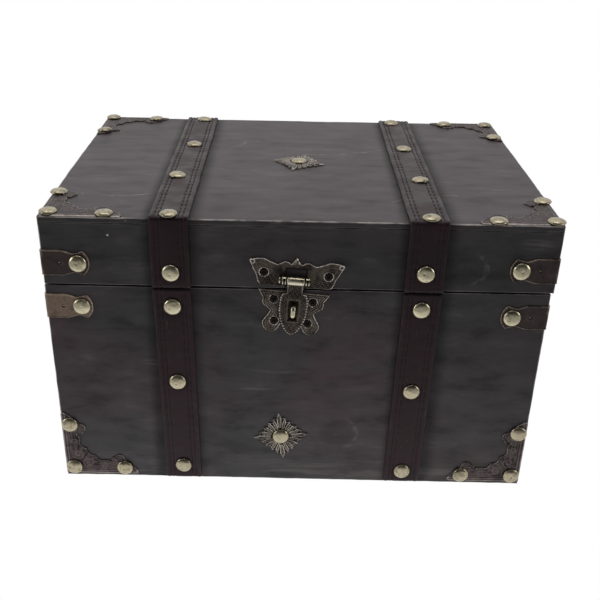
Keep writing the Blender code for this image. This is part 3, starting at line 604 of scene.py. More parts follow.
def make_strap(node, place, length, nails, seed, top_run=(0, 0)):
    """A strap's leather and its stitches. nails are (travel, sideways) spots in metres.

    The stitch holes are deeper, and their painted shade darker, along top_run, where the strap is pulled
    tight over the lid.
    """
    half = np.array(STRAP_COLUMNS)
    steps = np.linspace(0, length, int(length / STRAP_STEP) + 1)
    travel, across = np.meshgrid(steps, np.concatenate((-half[:0:-1], half)), indexing="ij")
    height, wear = strap_face(travel, across, nails, seed, top_run)
    sway = STRAP_SWAY * ripple(np.column_stack((steps, np.zeros(len(steps)))), 34 * MM, seed + 2)
    swell = 1 + STRAP_SWELL * ripple(np.column_stack((steps, np.ones(len(steps)))), 21 * MM, seed + 3)
    beside = across * swell[:, None] + sway[:, None]
    low = np.full((len(steps), 2), STRAP_LOW)
    rings_s = np.column_stack((travel, steps, steps))
    rings_x = np.column_stack((beside, beside[:, -1:], beside[:, :1]))
    rings_w = np.column_stack((height, low))
    points = place(rings_s, rings_x * MM, rings_w * MM).reshape(*rings_s.shape, 3)
    shape = Shape()
    loft(shape, points, np.column_stack((wear, 0 * low)).ravel())
    add_piece(f"{node}_leather", shape, "leather", node, sharp=60)
    sew(node, place, steps, sway, seed)


def row_shift(seed):
    """Where a strap's first stitch hole lies, as a share of the pitch."""
    return seed * 0.37 % 1


def sew(node, place, steps, sway, seed):
    """A strap's stitches: two rows on each side, which sway as the strap does."""
    first = (1 - row_shift(seed)) * STITCH_PITCH + STITCH_PITCH / 2
    middles = np.arange(first, steps[-1] / MM - STITCH_END, STITCH_PITCH)
    bend = np.interp(middles * MM, steps, sway)
    shape = Shape()
    for row in STITCH_ROWS:
        for side in (-1, 1):
            add_stitches(shape, place, middles, side * row + bend)
    add_piece(f"{node}_stitches", shape, "thread", node, sharp=180)


def add_stitches(shape, place, middles, beside):
    """Short thread loops that lie in a sewn row."""
    angles = turns(6)
    along = np.linspace(-1, 1, 6)[:, None]
    radius = STITCH_RADIUS * np.sqrt(np.clip(1 - along**4, 0.02, 1))
    for middle, x in zip(middles, beside):
        across = x + radius * np.cos(angles)
        out = STITCH_HIGH - 0.4 * along**2 + radius * np.sin(angles)
        travel = np.broadcast_to(middle + along * STITCH_LENGTH / 2, out.shape)
        placed_loft(shape, place, travel, across, out)


def strap_ends(node):
    """The middles of a strap's two ends, at its lowest and highest points."""
    points = corners_of(node)
    found = []
    for z in (points[:, 2].min(), points[:, 2].max()):
        xs = points[np.abs(points[:, 2] - z) < 0.05 * MM][:, 0]
        found.append((xs.min() + xs.max()) / 2)
    return found


def make_lid_strap(hand, seed):
    """A strap up the lid's front, over its top and down its back."""
    node = f"lid_strap_{hand}"
    foot = box_of(node)[0][2]
    x = middle_of(node)[0]
    (_, front, _), (_, back, top) = box_of("lid_front_board", "lid_back_board", "lid_top_panel")
    corners = [(x, front, foot), (x, front, top), (x, back, top), (x, back, foot)]
    place, starts = bent(corners, (-Y, Z, Y), X, EDGE_ROUND)
    nails = []
    for leg, outward in enumerate((-Y, Z, Y)):
        for tip in tips(f"{node}_nails", outward):
            path = (tip.z - foot, tip.y - front, top - tip.z)
            nails.append((starts[leg] + path[leg], tip.x - x))
    make_strap(node, place, starts[-1], nails, seed, (starts[1], starts[2]))


def make_case_strap(face, hand, seed):
    """A strap up the case's front or back."""
    node = f"case_strap_{face}_{hand}"
    case = box_of("case_front_board", "case_back_board")
    y, outward, across = (case[0][1], -Y, X) if face == "front" else (case[1][1], Y, -X)
    low, high = box_of(node)
    foot, head = strap_ends(node)
    place, starts = bent([(foot, y, low[2]), (head, y, high[2])], (outward,), across, EDGE_ROUND)
    nails = [(tip.z - low[2], 0.0) for tip in tips(f"{node}_nails", outward)]
    make_strap(node, place, starts[-1], nails, seed)


def make_straps():
    for hand, side in HANDS.items():
        make_lid_strap(hand, 3 + side)
        make_case_strap("front", hand, 11 + side)
        make_case_strap("back", hand, 15 + side)


# Nails

def nail_profile():
    """A domed head in millimetres, measured down from its top, with its edge turned under."""
    under = [(0.55, -0.55), (0.94, -0.42), (0.985, -0.25)]
    points = [(r * HEAD_RADIUS, w - HEAD_HEIGHT) for r, w in under]
    for a in np.radians(NAIL_TURNS):
        points.append((HEAD_RADIUS * math.cos(a), HEAD_HEIGHT * (math.sin(a) - 1)))
    return points


def make_nail(name, tip, outward, node, seed):
    """A hand-driven nail: a little tilted, slightly uneven, and often dented by the hammer."""
    rng = np.random.default_rng(seed)
    tilts = [Matrix.Rotation(rng.normal(0, NAIL_TILT), 4, axis) for axis in "XY"]
    spin = Matrix.Rotation(rng.uniform(0, math.tau), 4, "Z")
    place = flat(facing(tip, outward) @ (tilts[0] @ tilts[1]) @ spin)
    spot = rng.normal(0, 0.5, 2)
    depth = rng.choice(NAIL_DENTS)

    def dent(u, v):
        points = np.column_stack((u.ravel(), v.ravel()))
        uneven = 0.07 * ripple(points, 5.0, seed) + 0.02 * ripple(points, 1.6, seed + 1)
        return uneven.reshape(u.shape) + depth * ridge(np.hypot(u - spot[0], v - spot[1]), 0.55)

    wear = NAIL_TOP_WEAR if outward == Z else float(np.interp(tip.z, NAIL_HEIGHTS, NAIL_FRONT_WEAR))
    turned_piece(name, node, "brass_nail", nail_profile(), place, 40, wear, dent)


def nail_faces():
    """The start of each nail group's name, and the faces that its nails are driven into."""
    faces = {"lid_strap": (-Y, Z, Y), "case_strap_front": (-Y,), "case_strap_back": (Y,)}
    faces |= {"lid_corner": (Z,), "case_corner": (-Y,), "front_star": (-Y,), "top_star": (Z,)}
    for part in ("lid", "case"):
        for hand, side in HANDS.items():
            faces[f"{part}_bracket_{hand}"] = (-Y, side * X)
    return faces


def make_nails():
    seed = 100
    for start, faces in nail_faces().items():
        for node in sorted(frame["nodes"]):
            if not (node.startswith(start) and node.endswith(("_nails", "_nail"))):
                continue
            spots = [(tip, outward) for outward in faces for tip in tips(node, outward)]
            for number, (tip, outward) in enumerate(spots, 1):
                seed += 1
                name = node.removesuffix("s") + (f"_{number}" if len(spots) > 1 else "_head")
                make_nail(name, tip, outward, node, seed)


# Stamped plates. Outlines are in millimetres, anticlockwise; the third value is how far the line to
# the next point bows outward, as a share of its length.

CORNER_HALF = (
    (46.4, 0.0, 0.0), (47.8, 1.4, 0.08), (42.0, 8.4, -0.12), (38.8, 13.6, 0.30),
    (32.6, 13.6, 0.35), (31.0, 9.2, 0.15), (26.2, 11.0, -0.27), (20.2, 14.8, -0.27),
)
LID_PLATE_HALF = (
    (5.5, 6.2, 0.0), (5.5, -5.2, 0.0), (20.4, -5.2, 0.12), (23.1, -0.8, -0.05),
    (25.5, 4.4, -0.04), (27.9, 9.2, 0.35), (26.2, 11.3, 0.05), (18.8, 12.0, -0.03),
    (11.1, 9.0, 0.0), (7.4, 11.0, 0.12), (3.2, 9.5, -0.10), (0.0, 14.3, 0.0),
)
CASE_PLATE_HALF = (
    (6.0, -30.6, 0.0), (7.6, -34.0, 0.15), (11.8, -36.2, 0.15), (16.6, -33.0, 0.15),
    (16.9, -28.4, 0.0), (14.8, -25.2, 0.0), (13.3, -22.0, -0.05), (17.6, -18.6, 0.12),
    (18.3, -14.0, 0.0), (21.6, -8.3, 0.0),
)
HASP_HALF = (
    (0.0, -36.4, 0.12), (5.4, -31.0, 0.07), (8.6, -18.6, 0.06), (7.2, -8.6, 0.0),
    (4.9, -8.2, 0.0), (4.9, 0.0, 0.0),
)
BRACKET_PROFILE = (
    (28.0, 1.6), (27.0, 4.6), (24.4, 8.1), (21.6, 6.7),
    (18.6, 6.1), (15.4, 7.2), (12.6, 8.1),
)
PLATE_FACE = 0.62
BRACKET_CELL = 0.4              # the size of a relief's triangles
CORNER_CELL = 0.42
STAR_CELL = 0.3
LATCH_CELL = 0.33
LEAF_CELL = 0.7
# painted shade: the corner plates' sides take the dark hollow colour, standing in for the shadow along their
# outline
CORNER_WALL_SHADE = 0.0
HASP_WALL_WEAR = 0.3
POLISHED = 0.7                  # wear of bright turned parts


def rim_bead(gap, high=0.34, width=0.24):
    """A thin raised line just inside an outline, whose outer side falls away."""
    return high * ridge(gap - 0.4, width) - 0.45 * (1 - ease(gap, 0, 0.25))


def rim_wear(gap, width=0.3):
    return ridge(gap - 0.38, width)


def scroll(u, v, radius, pitch):
    """A spiral ridge round the origin that fades out at its radius, from 0 to 1."""
    away = np.hypot(u, v)
    wave = 0.5 + 0.5 * np.cos(math.tau * away / pitch - np.arctan2(v, u))
    return wave**2 * (1 - ease(away, 0.75 * radius, radius))


# u, v, radius and pitch
CORNER_SCROLLS = ((15.5, 8.8, 4.6, 2.6), (25.0, 6.6, 3.4, 2.2), (35.0, 8.6, 3.6, 2.4))
CORNER_LEAF = 6.0               # u and v of the point that the corner leaf's ribs fan out from
CORNER_RIBS = 26
LIP_LINE = 2.5


def corner_relief(u, v, gap, travel):
    """Leaf scrolls inside a beaded rim, with a rolled lip along the two straight edges."""
    lip = np.minimum(u, v)
    arm = np.maximum(u, v)
    rolled = 1 - ease(lip, 0.9, 1.4)
    height = rim_bead(gap) * (1 - rolled) - 0.45 * (1 - ease(lip, 0, 1.0)) * rolled
    height += 0.30 * ridge(lip - LIP_LINE, 0.5) + 0.22 * (1 - ease(lip, 1.2, 2.2)) * ease(gap, 0.5, 1.0)
    field = ease(gap, 1.1, 2.0) * ease(lip, 3.0, 4.0)
    scrolls = np.zeros(len(u))
    for a, b, radius, pitch in CORNER_SCROLLS:
        for x, y in ((u, v), (v, u)):
            scrolls = np.maximum(scrolls, scroll(x - a, y - b, radius, pitch))
    fan = np.arctan2(v - CORNER_LEAF, u - CORNER_LEAF)
    reach = np.hypot(u - CORNER_LEAF, v - CORNER_LEAF)
    leaf = (0.5 + 0.5 * np.cos(fan * CORNER_RIBS)) * ease(reach, 4.5, 8.0) * (1 - ease(arm, 20, 24))
    streak = (0.5 + 0.5 * np.cos(math.tau * (lip + 0.06 * arm) / 1.9)) * ease(arm, 17, 24)
    pattern = np.maximum(scrolls, 0.55 * np.maximum(leaf, streak) * (1 - ease(scrolls, 0.0, 0.2)))
    height += 0.34 * field * pattern
    height += 0.04 * ripple(np.column_stack((u, v)), 5.0, 5)
    wear = np.maximum(0.65 * rim_wear(gap), 0.45 * rolled) + 0.5 * ridge(lip - LIP_LINE, 0.35)
    wear += 0.14 + 0.36 * field * pattern
    return PLATE_FACE + height, np.clip(wear, -0.5, 1)


STAR_RADIUS = 17.6
STAR_RAYS = np.radians((17.0, 36.0, 54.0, 73.0))
STAR_LEAF = (6.2, 18.8, 1.6)    # where a leaf starts and ends along its ray, and half its width
STAR_PETAL = (5.2, 13.4, 1.15)


def star_outline(teeth=4, notch=0.86):
    """A four-pointed star whose straight sides, from tip to tip, have teeth."""
    count = 2 * teeth + 2
    points = []
    for turn in np.arange(4) * math.pi / 2:
        cos, sin = math.cos(turn), math.sin(turn)
        for k in range(count):
            reach = STAR_RADIUS * (notch if k % 2 else 1)
            x, y = reach * (1 - k / count), reach * k / count
            points.append((x * cos - y * sin, x * sin + y * cos))
    return np.array(points)


def star_leaf(reach, beside, start, end, half):
    """A pointed leaf that lies along a ray: its raised face and its outline, from 0 to 1."""
    middle, length = (start + end) / 2, (end - start) / 2
    width = half * np.clip(1 - ((reach - middle) / length) ** 2, 0, 1) ** 0.5
    face = ease(width - beside, -0.1, 0.25)
    return face, ridge(beside - 0.75 * width, 0.3) * ease(width, 0.15, 0.5)


def star_relief(u, v, gap, travel):
    """Four long leaves and, between them, thin outlined petals that fan out with deep grooves between."""
    reach = np.hypot(u, v)
    angle = np.arctan2(v, u) % (math.pi / 2)
    beside = reach * np.sin(np.minimum(angle, math.pi / 2 - angle))
    face, lines = star_leaf(reach, beside, *STAR_LEAF)
    for ray in STAR_RAYS:
        petal, outline = star_leaf(reach, reach * np.sin(np.abs(angle - ray)), *STAR_PETAL)
        lines = np.maximum(lines, outline * (1 - face))
        face = np.maximum(face, petal)
    rim = rim_wear(gap) * (1 - face)
    height = 0.42 * face + 0.25 * lines + 0.3 * rim - 0.4 * (1 - ease(gap, 0, 0.3))
    wear = 0.3 * face + 0.65 * lines + 0.7 * rim + 0.5 * ease(reach, 14, 16.5) - 0.1
    return PLATE_FACE - 0.1 + height, np.clip(wear, -0.5, 1)


LID_SCREWS = ((19.0, 3.2),)
CASE_SCREWS = ((11.6, -14.1), (10.0, -28.4))
CURL_SPOT = (26.0, 9.6)
CURL_RADIUS = 1.2
HASP_SLOT = ((-2.6, -26.4), (2.6, -13.4))
HASP_FACE = 2.3


def screw_rings(u, v, screws):
    """Raised rings round the screw holes, from 0 to 1."""
    ring = np.zeros(len(u))
    for a, b in screws:
        ring = np.maximum(ring, ridge(np.hypot(np.abs(u) - a, v - b) - 2.8, 0.27))
    return ring


def stipple(u, v):
    """Small punched dots, from -1 to 1."""
    return np.cos(u * 4.4 + np.sin(v * 3.1)) * np.cos(v * 4.9 + np.sin(u * 2.3))


def lid_plate_relief(u, v, gap, travel):
    """Upper wings: smooth above, punched below, with antennae at the head and curls at the wing tips."""
    side = np.abs(u)
    edge = ease(np.maximum(side - LID_PLATE_HALF[0][0], v - LID_PLATE_HALF[0][1]), 0.6, 1.2)
    rings = screw_rings(u, v, LID_SCREWS)
    curls = ridge(np.hypot(side - CURL_SPOT[0], v - CURL_SPOT[1]) - CURL_RADIUS, 0.3)
    antennae = ridge(side - 0.35 * np.abs(v - 12.2) - 0.3, 0.3) * ease(v, 8.6, 9.6)
    punched = ease(-v, -3.5, -0.5) * ease(side, 9, 12) * ease(gap, 0.7, 1.2)
    veins = ridge(((gap - 2.2) % 1.7) - 0.85, 0.35) * ease(side, 13, 16) * ease(v, 2, 6) * ease(gap, 1.4, 2.0)
    height = rim_bead(gap) * edge + 0.34 * rings + 0.3 * curls + 0.3 * antennae
    height += 0.26 * punched * stipple(u, v) + 0.12 * veins
    wear = 0.2 * edge + 0.85 * rim_wear(gap) * edge + 0.7 * rings + 0.8 * curls + 0.6 * antennae
    wear += 0.4 * punched * stipple(u, v) + 0.16 * veins - 0.3 * (1 - edge)
    return PLATE_FACE + height, np.clip(wear, -0.5, 1)


def case_plate_relief(u, v, gap, travel):
    """Lower wings: lines that follow the outline, rings round the screws, dots between them."""
    side = np.abs(u)
    wing = ease(side, 6.5, 9.0)
    lines = ridge(((gap - 1.4) % 1.25) - 0.62, 0.3) * wing * ease(gap, 1.0, 1.4) * (1 - ease(gap, 4.2, 5.0))
    rings = screw_rings(u, v, CASE_SCREWS)
    lines = lines * (1 - ease(rings, 0.1, 0.5))
    dots = ease(gap, 0.8, 1.2) * (1 - lines) * stipple(u, v)
    height = rim_bead(gap) + 0.34 * rings + 0.26 * lines + 0.2 * dots
    wear = 0.18 + 0.85 * rim_wear(gap) + 0.7 * rings + 0.36 * lines + 0.3 * dots
    return PLATE_FACE + height, np.clip(wear, -0.5, 1)


def hasp_relief(u, v, gap, travel):
    """The hanging tongue: a pearled rim, punched dots, and a raised line round the slot."""
    side = np.abs(u)
    pearls = 0.5 + 0.5 * np.cos(math.tau * travel / 1.8)
    tongue = ease(-v, 8.6, 9.4)
    bead = 0.4 * ridge(gap - 0.5, 0.36) * (pearls * tongue + (1 - tongue))
    (_, foot), (half, head) = HASP_SLOT
    frame_gap = np.maximum(side - half, np.maximum(v - head, foot - v))
    frame_line = ridge(frame_gap - 0.9, 0.28) * tongue
    dots = ease(gap, 1.0, 1.5) * ease(frame_gap, 1.3, 1.7) * stipple(u, v)
    height = bead - 0.45 * (1 - ease(gap, 0, 0.3)) + 0.2 * frame_line + 0.2 * dots
    wear = 0.2 + 1.2 * ridge(gap - 0.5, 0.42) * (pearls * tongue + 0.4 * (1 - tongue)) + 0.25 * frame_line
    wear += 0.36 * dots
    return HASP_FACE + height, np.clip(wear, -0.5, 1)


def bracket_outline():
    """A strap as long on both sides of a vertical edge, with waisted, rounded ends."""
    half = np.array(BRACKET_PROFILE)
    spots = np.linspace(0, len(half) - 1, 37)
    reach = np.interp(spots, range(len(half)), half[:, 0])
    rise = np.interp(spots, range(len(half)), half[:, 1])
    for _ in range(3):
        rise[1:-1] = (rise[:-2] + 2 * rise[1:-1] + rise[2:]) / 4
        reach[1:-1] = (reach[:-2] + 2 * reach[1:-1] + reach[2:]) / 4
    quarter = np.column_stack((reach, rise))
    top = np.vstack((quarter, quarter[::-1] * (-1, 1)))
    return np.vstack((top, top[::-1] * (1, -1)))


SPARE_HOLE = 10.2
SPARE_HOLE_RADIUS = 0.55


def bracket_relief(u, v, gap, travel):
    """A plain strap with a thin line near its edges and a spare hole beside the corner."""
    hole = ridge(np.maximum(np.hypot(np.abs(u) - SPARE_HOLE, v) - SPARE_HOLE_RADIUS, 0), 0.25)
    height = rim_bead(gap, 0.2, 0.3) - 0.6 * hole
    height += 0.06 * ripple(np.column_stack((u, v)), 8.0, 3)
    wear = 0.40 + 0.58 * rim_wear(gap, 0.27) + 0.25 * ridge(np.abs(u), 0.9) - 1.8 * hole
    return PLATE_FACE + height, np.clip(wear, -1, 1)


def make_brackets():
    stamping = stamp(bracket_outline(), bracket_relief, BRACKET_CELL)
    reach = BRACKET_PROFILE[0][0] * MM
    for part in ("lid", "case"):
        (left, front, _), (right, _, _) = box_of(*[f"{part}_{board}" for board in UPRIGHT_BOARDS])
        for hand, side in HANDS.items():
            node = f"{part}_bracket_{hand}"
            edge = left if side < 0 else right
            z = middle_of(node)[2]
            path = [(edge - side * reach, front, z), (edge, front, z), (edge, front + reach, z)]
            place, starts = bent(path, (-Y, side * X), Z, EDGE_ROUND)

            def wrapped(u, v, w, place=place, middle=starts[1]):
                return place(u + middle, v, w)

            material = "bronze_tan" if node == "case_bracket_left" else "bronze_dark"
            stamped_piece(f"{node}_plate", node, material, stamping, wrapped)


def make_corners():
    outline = traced(whole(CORNER_HALF, across_diagonal) + ((0.0, 0.0, 0.0),))
    stamping = stamp(outline, corner_relief, CORNER_CELL)
    top = box_of("lid_top_panel")[1][2]
    front = box_of("case_front_board")[0][1]
    nodes = [n for n in frame["nodes"] if "_corner_" in n and not n.endswith("nails")]
    for node in sorted(nodes):
        box = box_of(node)
        right, far = (int(value > 0) for value in middle_of(node)[:2])
        side = 1 if right else -1
        if node.startswith("case"):
            matrix = face_frame((box[right][0], front, box[0][2]), X, Z)
            mirror = (-side, 1, 1, 1)
        else:
            matrix = face_frame((box[right][0], box[far][1], top), X, Y)
            mirror = (-side, -1 if far else 1, 1, 1)
        place = flat(matrix @ Matrix.Diagonal(mirror))
        # the corner plates' sides are painted dark as shade
        stamped_piece(f"{node}_plate", node, "bronze", stamping, place, wall_wear_and_shade=CORNER_WALL_SHADE)


def make_stars():
    stamping = stamp(star_outline(), star_relief, STAR_CELL)
    front = box_of("case_front_board")[0][1]
    top = box_of("lid_top_panel")[1][2]
    for node, outward, turn in (("front_star", -Y, 6), ("top_star", Z, -15)):
        tip = tips(f"{node}_nail", outward)[0]
        origin = (tip.x, tip.y, top) if outward == Z else (tip.x, front, tip.z)
        matrix = facing(origin, outward) @ Matrix.Rotation(math.radians(turn), 4, "Z")
        stamped_piece(f"{node}_plate", node, "bronze_star", stamping, flat(matrix))


# Latch. Its frame comes from the hasp's joint: U along the pin, V up.

CASE_PLATE_TURN = math.radians(-1.2)
SCREW_HOLE = 2.3
SCREW_RADIUS = 2.0
SCREW_TOP = 0.85
HASP_LOW = 1.5
PIN_PROFILE = ((0, -10), (1.7, -10), (2.0, -9.8), (2.0, -9.3))
PIN_PROFILE += ((1.7, -9.1), (0.85, -9.1), (0.85, 8.9), (0, 9.2))
PIN_WEAR = (0.7, 0.9, 1.0, 1.0, 0.9, -0.2, -0.2, 0.3)
BARREL_RADIUS = 2.6
BARREL_HALF = 5.0
BARREL_GROOVES = ((-4.1, -3.8, 0.2), (3.8, 4.1, 0.2))
KNUCKLE_BORE = 1.2
EAR_MIDDLE = 6.9
EAR_SIDES = 32
EAR_PROFILE = ((1.15, -1.15), (2.3, -1.15), (2.6, -0.95), (2.6, -0.62), (2.3, -0.55))
EAR_PROFILE += ((2.3, 0.55), (2.6, 0.62), (2.6, 0.95), (2.3, 1.15), (1.15, 1.15), (1.15, -1.15))
STAPLE_SPAN = (-15.8, -24.4)
STAPLE_OUT = 6.5
STAPLE_WIRE = 2.2
STAPLE_TURN = 2.0
STAPLE_HALF_WIDTH = 1.45 * MM
STAPLE_HALF_DEPTH = 1.05 * MM


def latch_axes():
    """The latch pin's middle, and the directions along the pin and up."""
    hinge = joint("hasp_hinge")
    across = -Vector(hinge["axis"])
    return hinge["pos_m"], across, across.cross(-Y) * -1


def latch_frame(board):
    """The latch's frame on a board's front."""
    (x, _, z), across, up = latch_axes()
    return face_frame((x, box_of(board)[0][1], z), across, up)


def along_pin():
    """A place function whose W runs along the latch pin from left to right."""
    middle, across, up = latch_axes()
    return flat(face_frame(middle, up, across.cross(up)))


def mirrored(half):
    """A latch plate's whole outline."""
    return traced(whole(half, left_right))


def screw_holes(screws):
    return [circle(side * u, v, SCREW_HOLE) for u, v in screws for side in (-1, 1)]


def tube_profile(bore, radius, half, grooves=(), edge=0.35):
    """A tube from -half to half with rounded ends. Grooves are (from, to, depth)."""
    points = [(bore, -half), (radius - edge, -half), (radius, edge - half)]
    for start, end, depth in grooves:
        points += [(radius, start), (radius - depth, start + 0.2), (radius - depth, end - 0.2), (radius, end)]
    return points + [(radius, half - edge), (radius - edge, half), (bore, half), (bore, -half)]


def make_screw(name, node, matrix, spot, seed, radius=SCREW_RADIUS, top=SCREW_TOP, look="bronze_screw"):
    """A cross-slotted screw head, sunk in its plate at (u, v)."""
    turn = np.random.default_rng(seed).uniform(0, math.pi)
    u, v = (value * MM for value in spot)
    place = flat(matrix @ Matrix.Translation((u, v, 0)) @ Matrix.Rotation(turn, 4, "Z"))

    def dent(u, v):
        arms = np.minimum(np.abs(u), np.abs(v))
        slot = (1 - ease(arms, 0.22, 0.42)) * (1 - ease(np.maximum(np.abs(u), np.abs(v)), 1.1, 1.4))
        return 0.7 * slot

    rings = [(0.3 * radius, top - 0.9), (radius, top - 0.35), (0.97 * radius, top - 0.08)]
    rings += [(r * radius, top + 0.12 * (1 - r)) for r in np.linspace(0.9, 0, 16)]
    turned_piece(name, node, look, rings, place, 48, 0.35, dent)


def ear_wear_and_shade():
    """Bright rims and, on the side that faces the front, painted shade in the hollow between them."""
    wear = np.full((len(EAR_PROFILE), EAR_SIDES), 0.9)
    front = np.sin(turns(EAR_SIDES)) > 0.6
    # painted shade in the front of the groove between the rims
    wear[4:6, front] = -0.4
    return wear


def make_lid_plate(matrix):
    """The upper wings with their two ears and two screws."""
    stamping = stamp(mirrored(LID_PLATE_HALF), lid_plate_relief, LATCH_CELL, screw_holes(LID_SCREWS))
    stamped_piece("latch_lid_plate_stamped", "latch_lid_plate", "bronze_latch", stamping, flat(matrix))
    ears = Shape()
    for side in (-1, 1):
        profile = [(r, w + side * EAR_MIDDLE) for r, w in EAR_PROFILE]
        lathe(ears, profile, along_pin(), EAR_SIDES, ear_wear_and_shade())
    add_piece("latch_ears", ears, "brass_bright", "latch_lid_plate")
    for hand, side in HANDS.items():
        node = f"latch_lid_screw_{hand}"
        u, v = LID_SCREWS[0]
        make_screw(f"{node}_head", node, matrix, (side * u, v), 30 + side)


def make_hasp(matrix):
    """The hanging tongue with its barrel."""
    profile = tube_profile(KNUCKLE_BORE, BARREL_RADIUS, BARREL_HALF, BARREL_GROOVES)
    turned_piece("hasp_barrel", "hasp", "brass_bright", profile, along_pin(), 40, POLISHED)
    stamping = stamp(mirrored(HASP_HALF), hasp_relief, LATCH_CELL, [rectangle(*HASP_SLOT)])
    stamped_piece("hasp_tongue", "hasp", "bronze_latch", stamping, flat(matrix), HASP_LOW, HASP_WALL_WEAR)


def make_case_plate(matrix):
    """The lower wings, a little askew, with their four screws."""
    stamping = stamp(mirrored(CASE_PLATE_HALF), case_plate_relief, LATCH_CELL, screw_holes(CASE_SCREWS))
    stamped_piece("latch_case_plate_stamped", "latch_case_plate", "bronze_latch", stamping, flat(matrix))
    spots = [(side * u, v) for u, v in CASE_SCREWS for side in (-1, 1)]
    for number, spot in enumerate(spots, 1):
        make_screw(f"latch_case_screw_{number}", "latch_case_screws", matrix, spot, 40 + number)


def make_latch():
    on_lid = latch_frame("lid_front_board")
    on_case = latch_frame("case_front_board")
    make_lid_plate(on_lid)
    turned_piece("latch_pin_rod", "latch_pin", "brass_bright", PIN_PROFILE, along_pin(), 32, PIN_WEAR)
    make_hasp(on_lid)
    make_case_plate(on_case @ Matrix.Rotation(CASE_PLATE_TURN, 4, "Z"))
    make_staple(on_case)


def make_staple(on_case):
    """A bent wire loop with rounded corners that stands out of the case."""
    half = STAPLE_WIRE / 2
    top, foot = STAPLE_SPAN[0] - half, STAPLE_SPAN[1] + half
    bend_out = STAPLE_OUT - half - STAPLE_TURN
    angles = np.radians(np.linspace(0, 90, 8))
    bend = STAPLE_TURN * np.column_stack((1 - np.cos(angles), np.sin(angles)))
    side = np.linspace(top - STAPLE_TURN, foot + STAPLE_TURN, 5)[1:-1]

    def leg(v):
        return np.column_stack((np.full(6, v), np.linspace(0.0, bend_out, 6)))

    upper = leg(top), (bend * (-1, 1) + (top, bend_out))[1:]
    outer = np.column_stack((side, np.full(len(side), bend_out + STAPLE_TURN)))
    lower = bend[::-1] + (foot, bend_out), leg(foot)[-2::-1]
    v, w = np.vstack((*upper, outer, *lower)).T * MM
    section = [(STAPLE_HALF_WIDTH * math.cos(a), STAPLE_HALF_DEPTH * math.sin(a)) for a in turns(16)]
    shape = Shape()
    sweep(shape, flat(on_case)(np.zeros(len(v)), v, w), on_case.to_3x3() @ X, section, POLISHED)
    add_piece("latch_staple_wire", shape, "brass_bright", "latch_staple")


# Hinges

KNUCKLE_RADIUS = 2.2
LEAF_TOP = 1.2
LEAF_HALF = 13.0
LEAF_HEIGHT = 12.0
LEAF_SCREW = (8.0, 7.5)
KNUCKLE_ROOM = 2.6
MIDDLE_KNUCKLE = 4.0
OUTER_KNUCKLE = 4.4
HINGE_PIN = ((0, -14), (0.7, -14), (0.9, -13.8), (0.9, 13.8), (0.7, 14), (0, 14))


def leaf_relief(u, v, gap, travel):
    height = 0.1 * ridge(gap - 1.2, 0.5) - 0.35 * (1 - ease(gap, 0, 0.6))
    return LEAF_TOP - 0.1 + height, np.clip(0.75 * ridge(gap - 0.3, 0.5), 0, 1)


def leaf_outline(part):
    """A leaf seen from behind: beside its own knuckles it reaches the pin."""
    if part == "lid":
        half = ((MIDDLE_KNUCKLE, 0.3), (MIDDLE_KNUCKLE, KNUCKLE_ROOM), (LEAF_HALF, KNUCKLE_ROOM))
        half += ((LEAF_HALF, LEAF_HEIGHT - 1.5), (LEAF_HALF - 1.5, LEAF_HEIGHT))
    else:
        half = ((OUTER_KNUCKLE, -KNUCKLE_ROOM), (OUTER_KNUCKLE, -0.3), (LEAF_HALF, -0.3))
        half += ((LEAF_HALF, 1.5 - LEAF_HEIGHT), (LEAF_HALF - 1.5, -LEAF_HEIGHT))
    points = np.array(half)
    return np.vstack((points, points[::-1] * (-1, 1)))


def make_leaf(part, hand, matrix, along):
    """A leaf with its knuckles and its two screws."""
    node = f"hinge_{part}_leaf_{hand}"
    shape = Shape()
    emboss(shape, stamp(leaf_outline(part), leaf_relief, LEAF_CELL), flat(matrix), PLATE_LOW)
    spans = ((-MIDDLE_KNUCKLE, MIDDLE_KNUCKLE),)
    if part == "case":
        spans = ((-LEAF_HALF, -OUTER_KNUCKLE), (OUTER_KNUCKLE, LEAF_HALF))
    for start, end in spans:
        profile = tube_profile(KNUCKLE_BORE, KNUCKLE_RADIUS, (end - start) / 2)
        lathe(shape, [(r, w + (start + end) / 2) for r, w in profile], along, 32, 0.45)
    add_piece(f"{node}_plate", shape, "bronze_hinge", node)
    up = 1 if part == "lid" else -1
    for number, side in enumerate((-1, 1), 1):
        spot = (side * LEAF_SCREW[0], up * LEAF_SCREW[1])
        make_screw(f"{node}_screw_{number}", node, matrix, spot, 60 + number, 1.9, 1.6, "bronze_hinge")


def make_hinges():
    _, axis_y, axis_z = joint("lid_hinge")["pos_m"]
    for hand in HANDS:
        x = middle_of(f"hinge_lid_leaf_{hand}")[0]
        along = flat(face_frame((x, axis_y, axis_z), Z, Y))
        pin = f"hinge_pin_{hand}"
        turned_piece(f"{pin}_rod", pin, "bronze_hinge", HINGE_PIN, along, 20, POLISHED)
        for part in ("lid", "case"):
            back = box_of(f"{part}_back_board")[1][1]
            make_leaf(part, hand, face_frame((x, back, axis_z), -X, Z), along)


# Materials

def tone(red, green, blue):
    """A screen colour, 0 to 255, as the linear values a shader takes."""
    parts = [c / 255 for c in (red, green, blue)]
    return (*[c / 12.92 if c <= 0.04045 else ((c + 0.055) / 1.055) ** 2.4 for c in parts], 1.0)


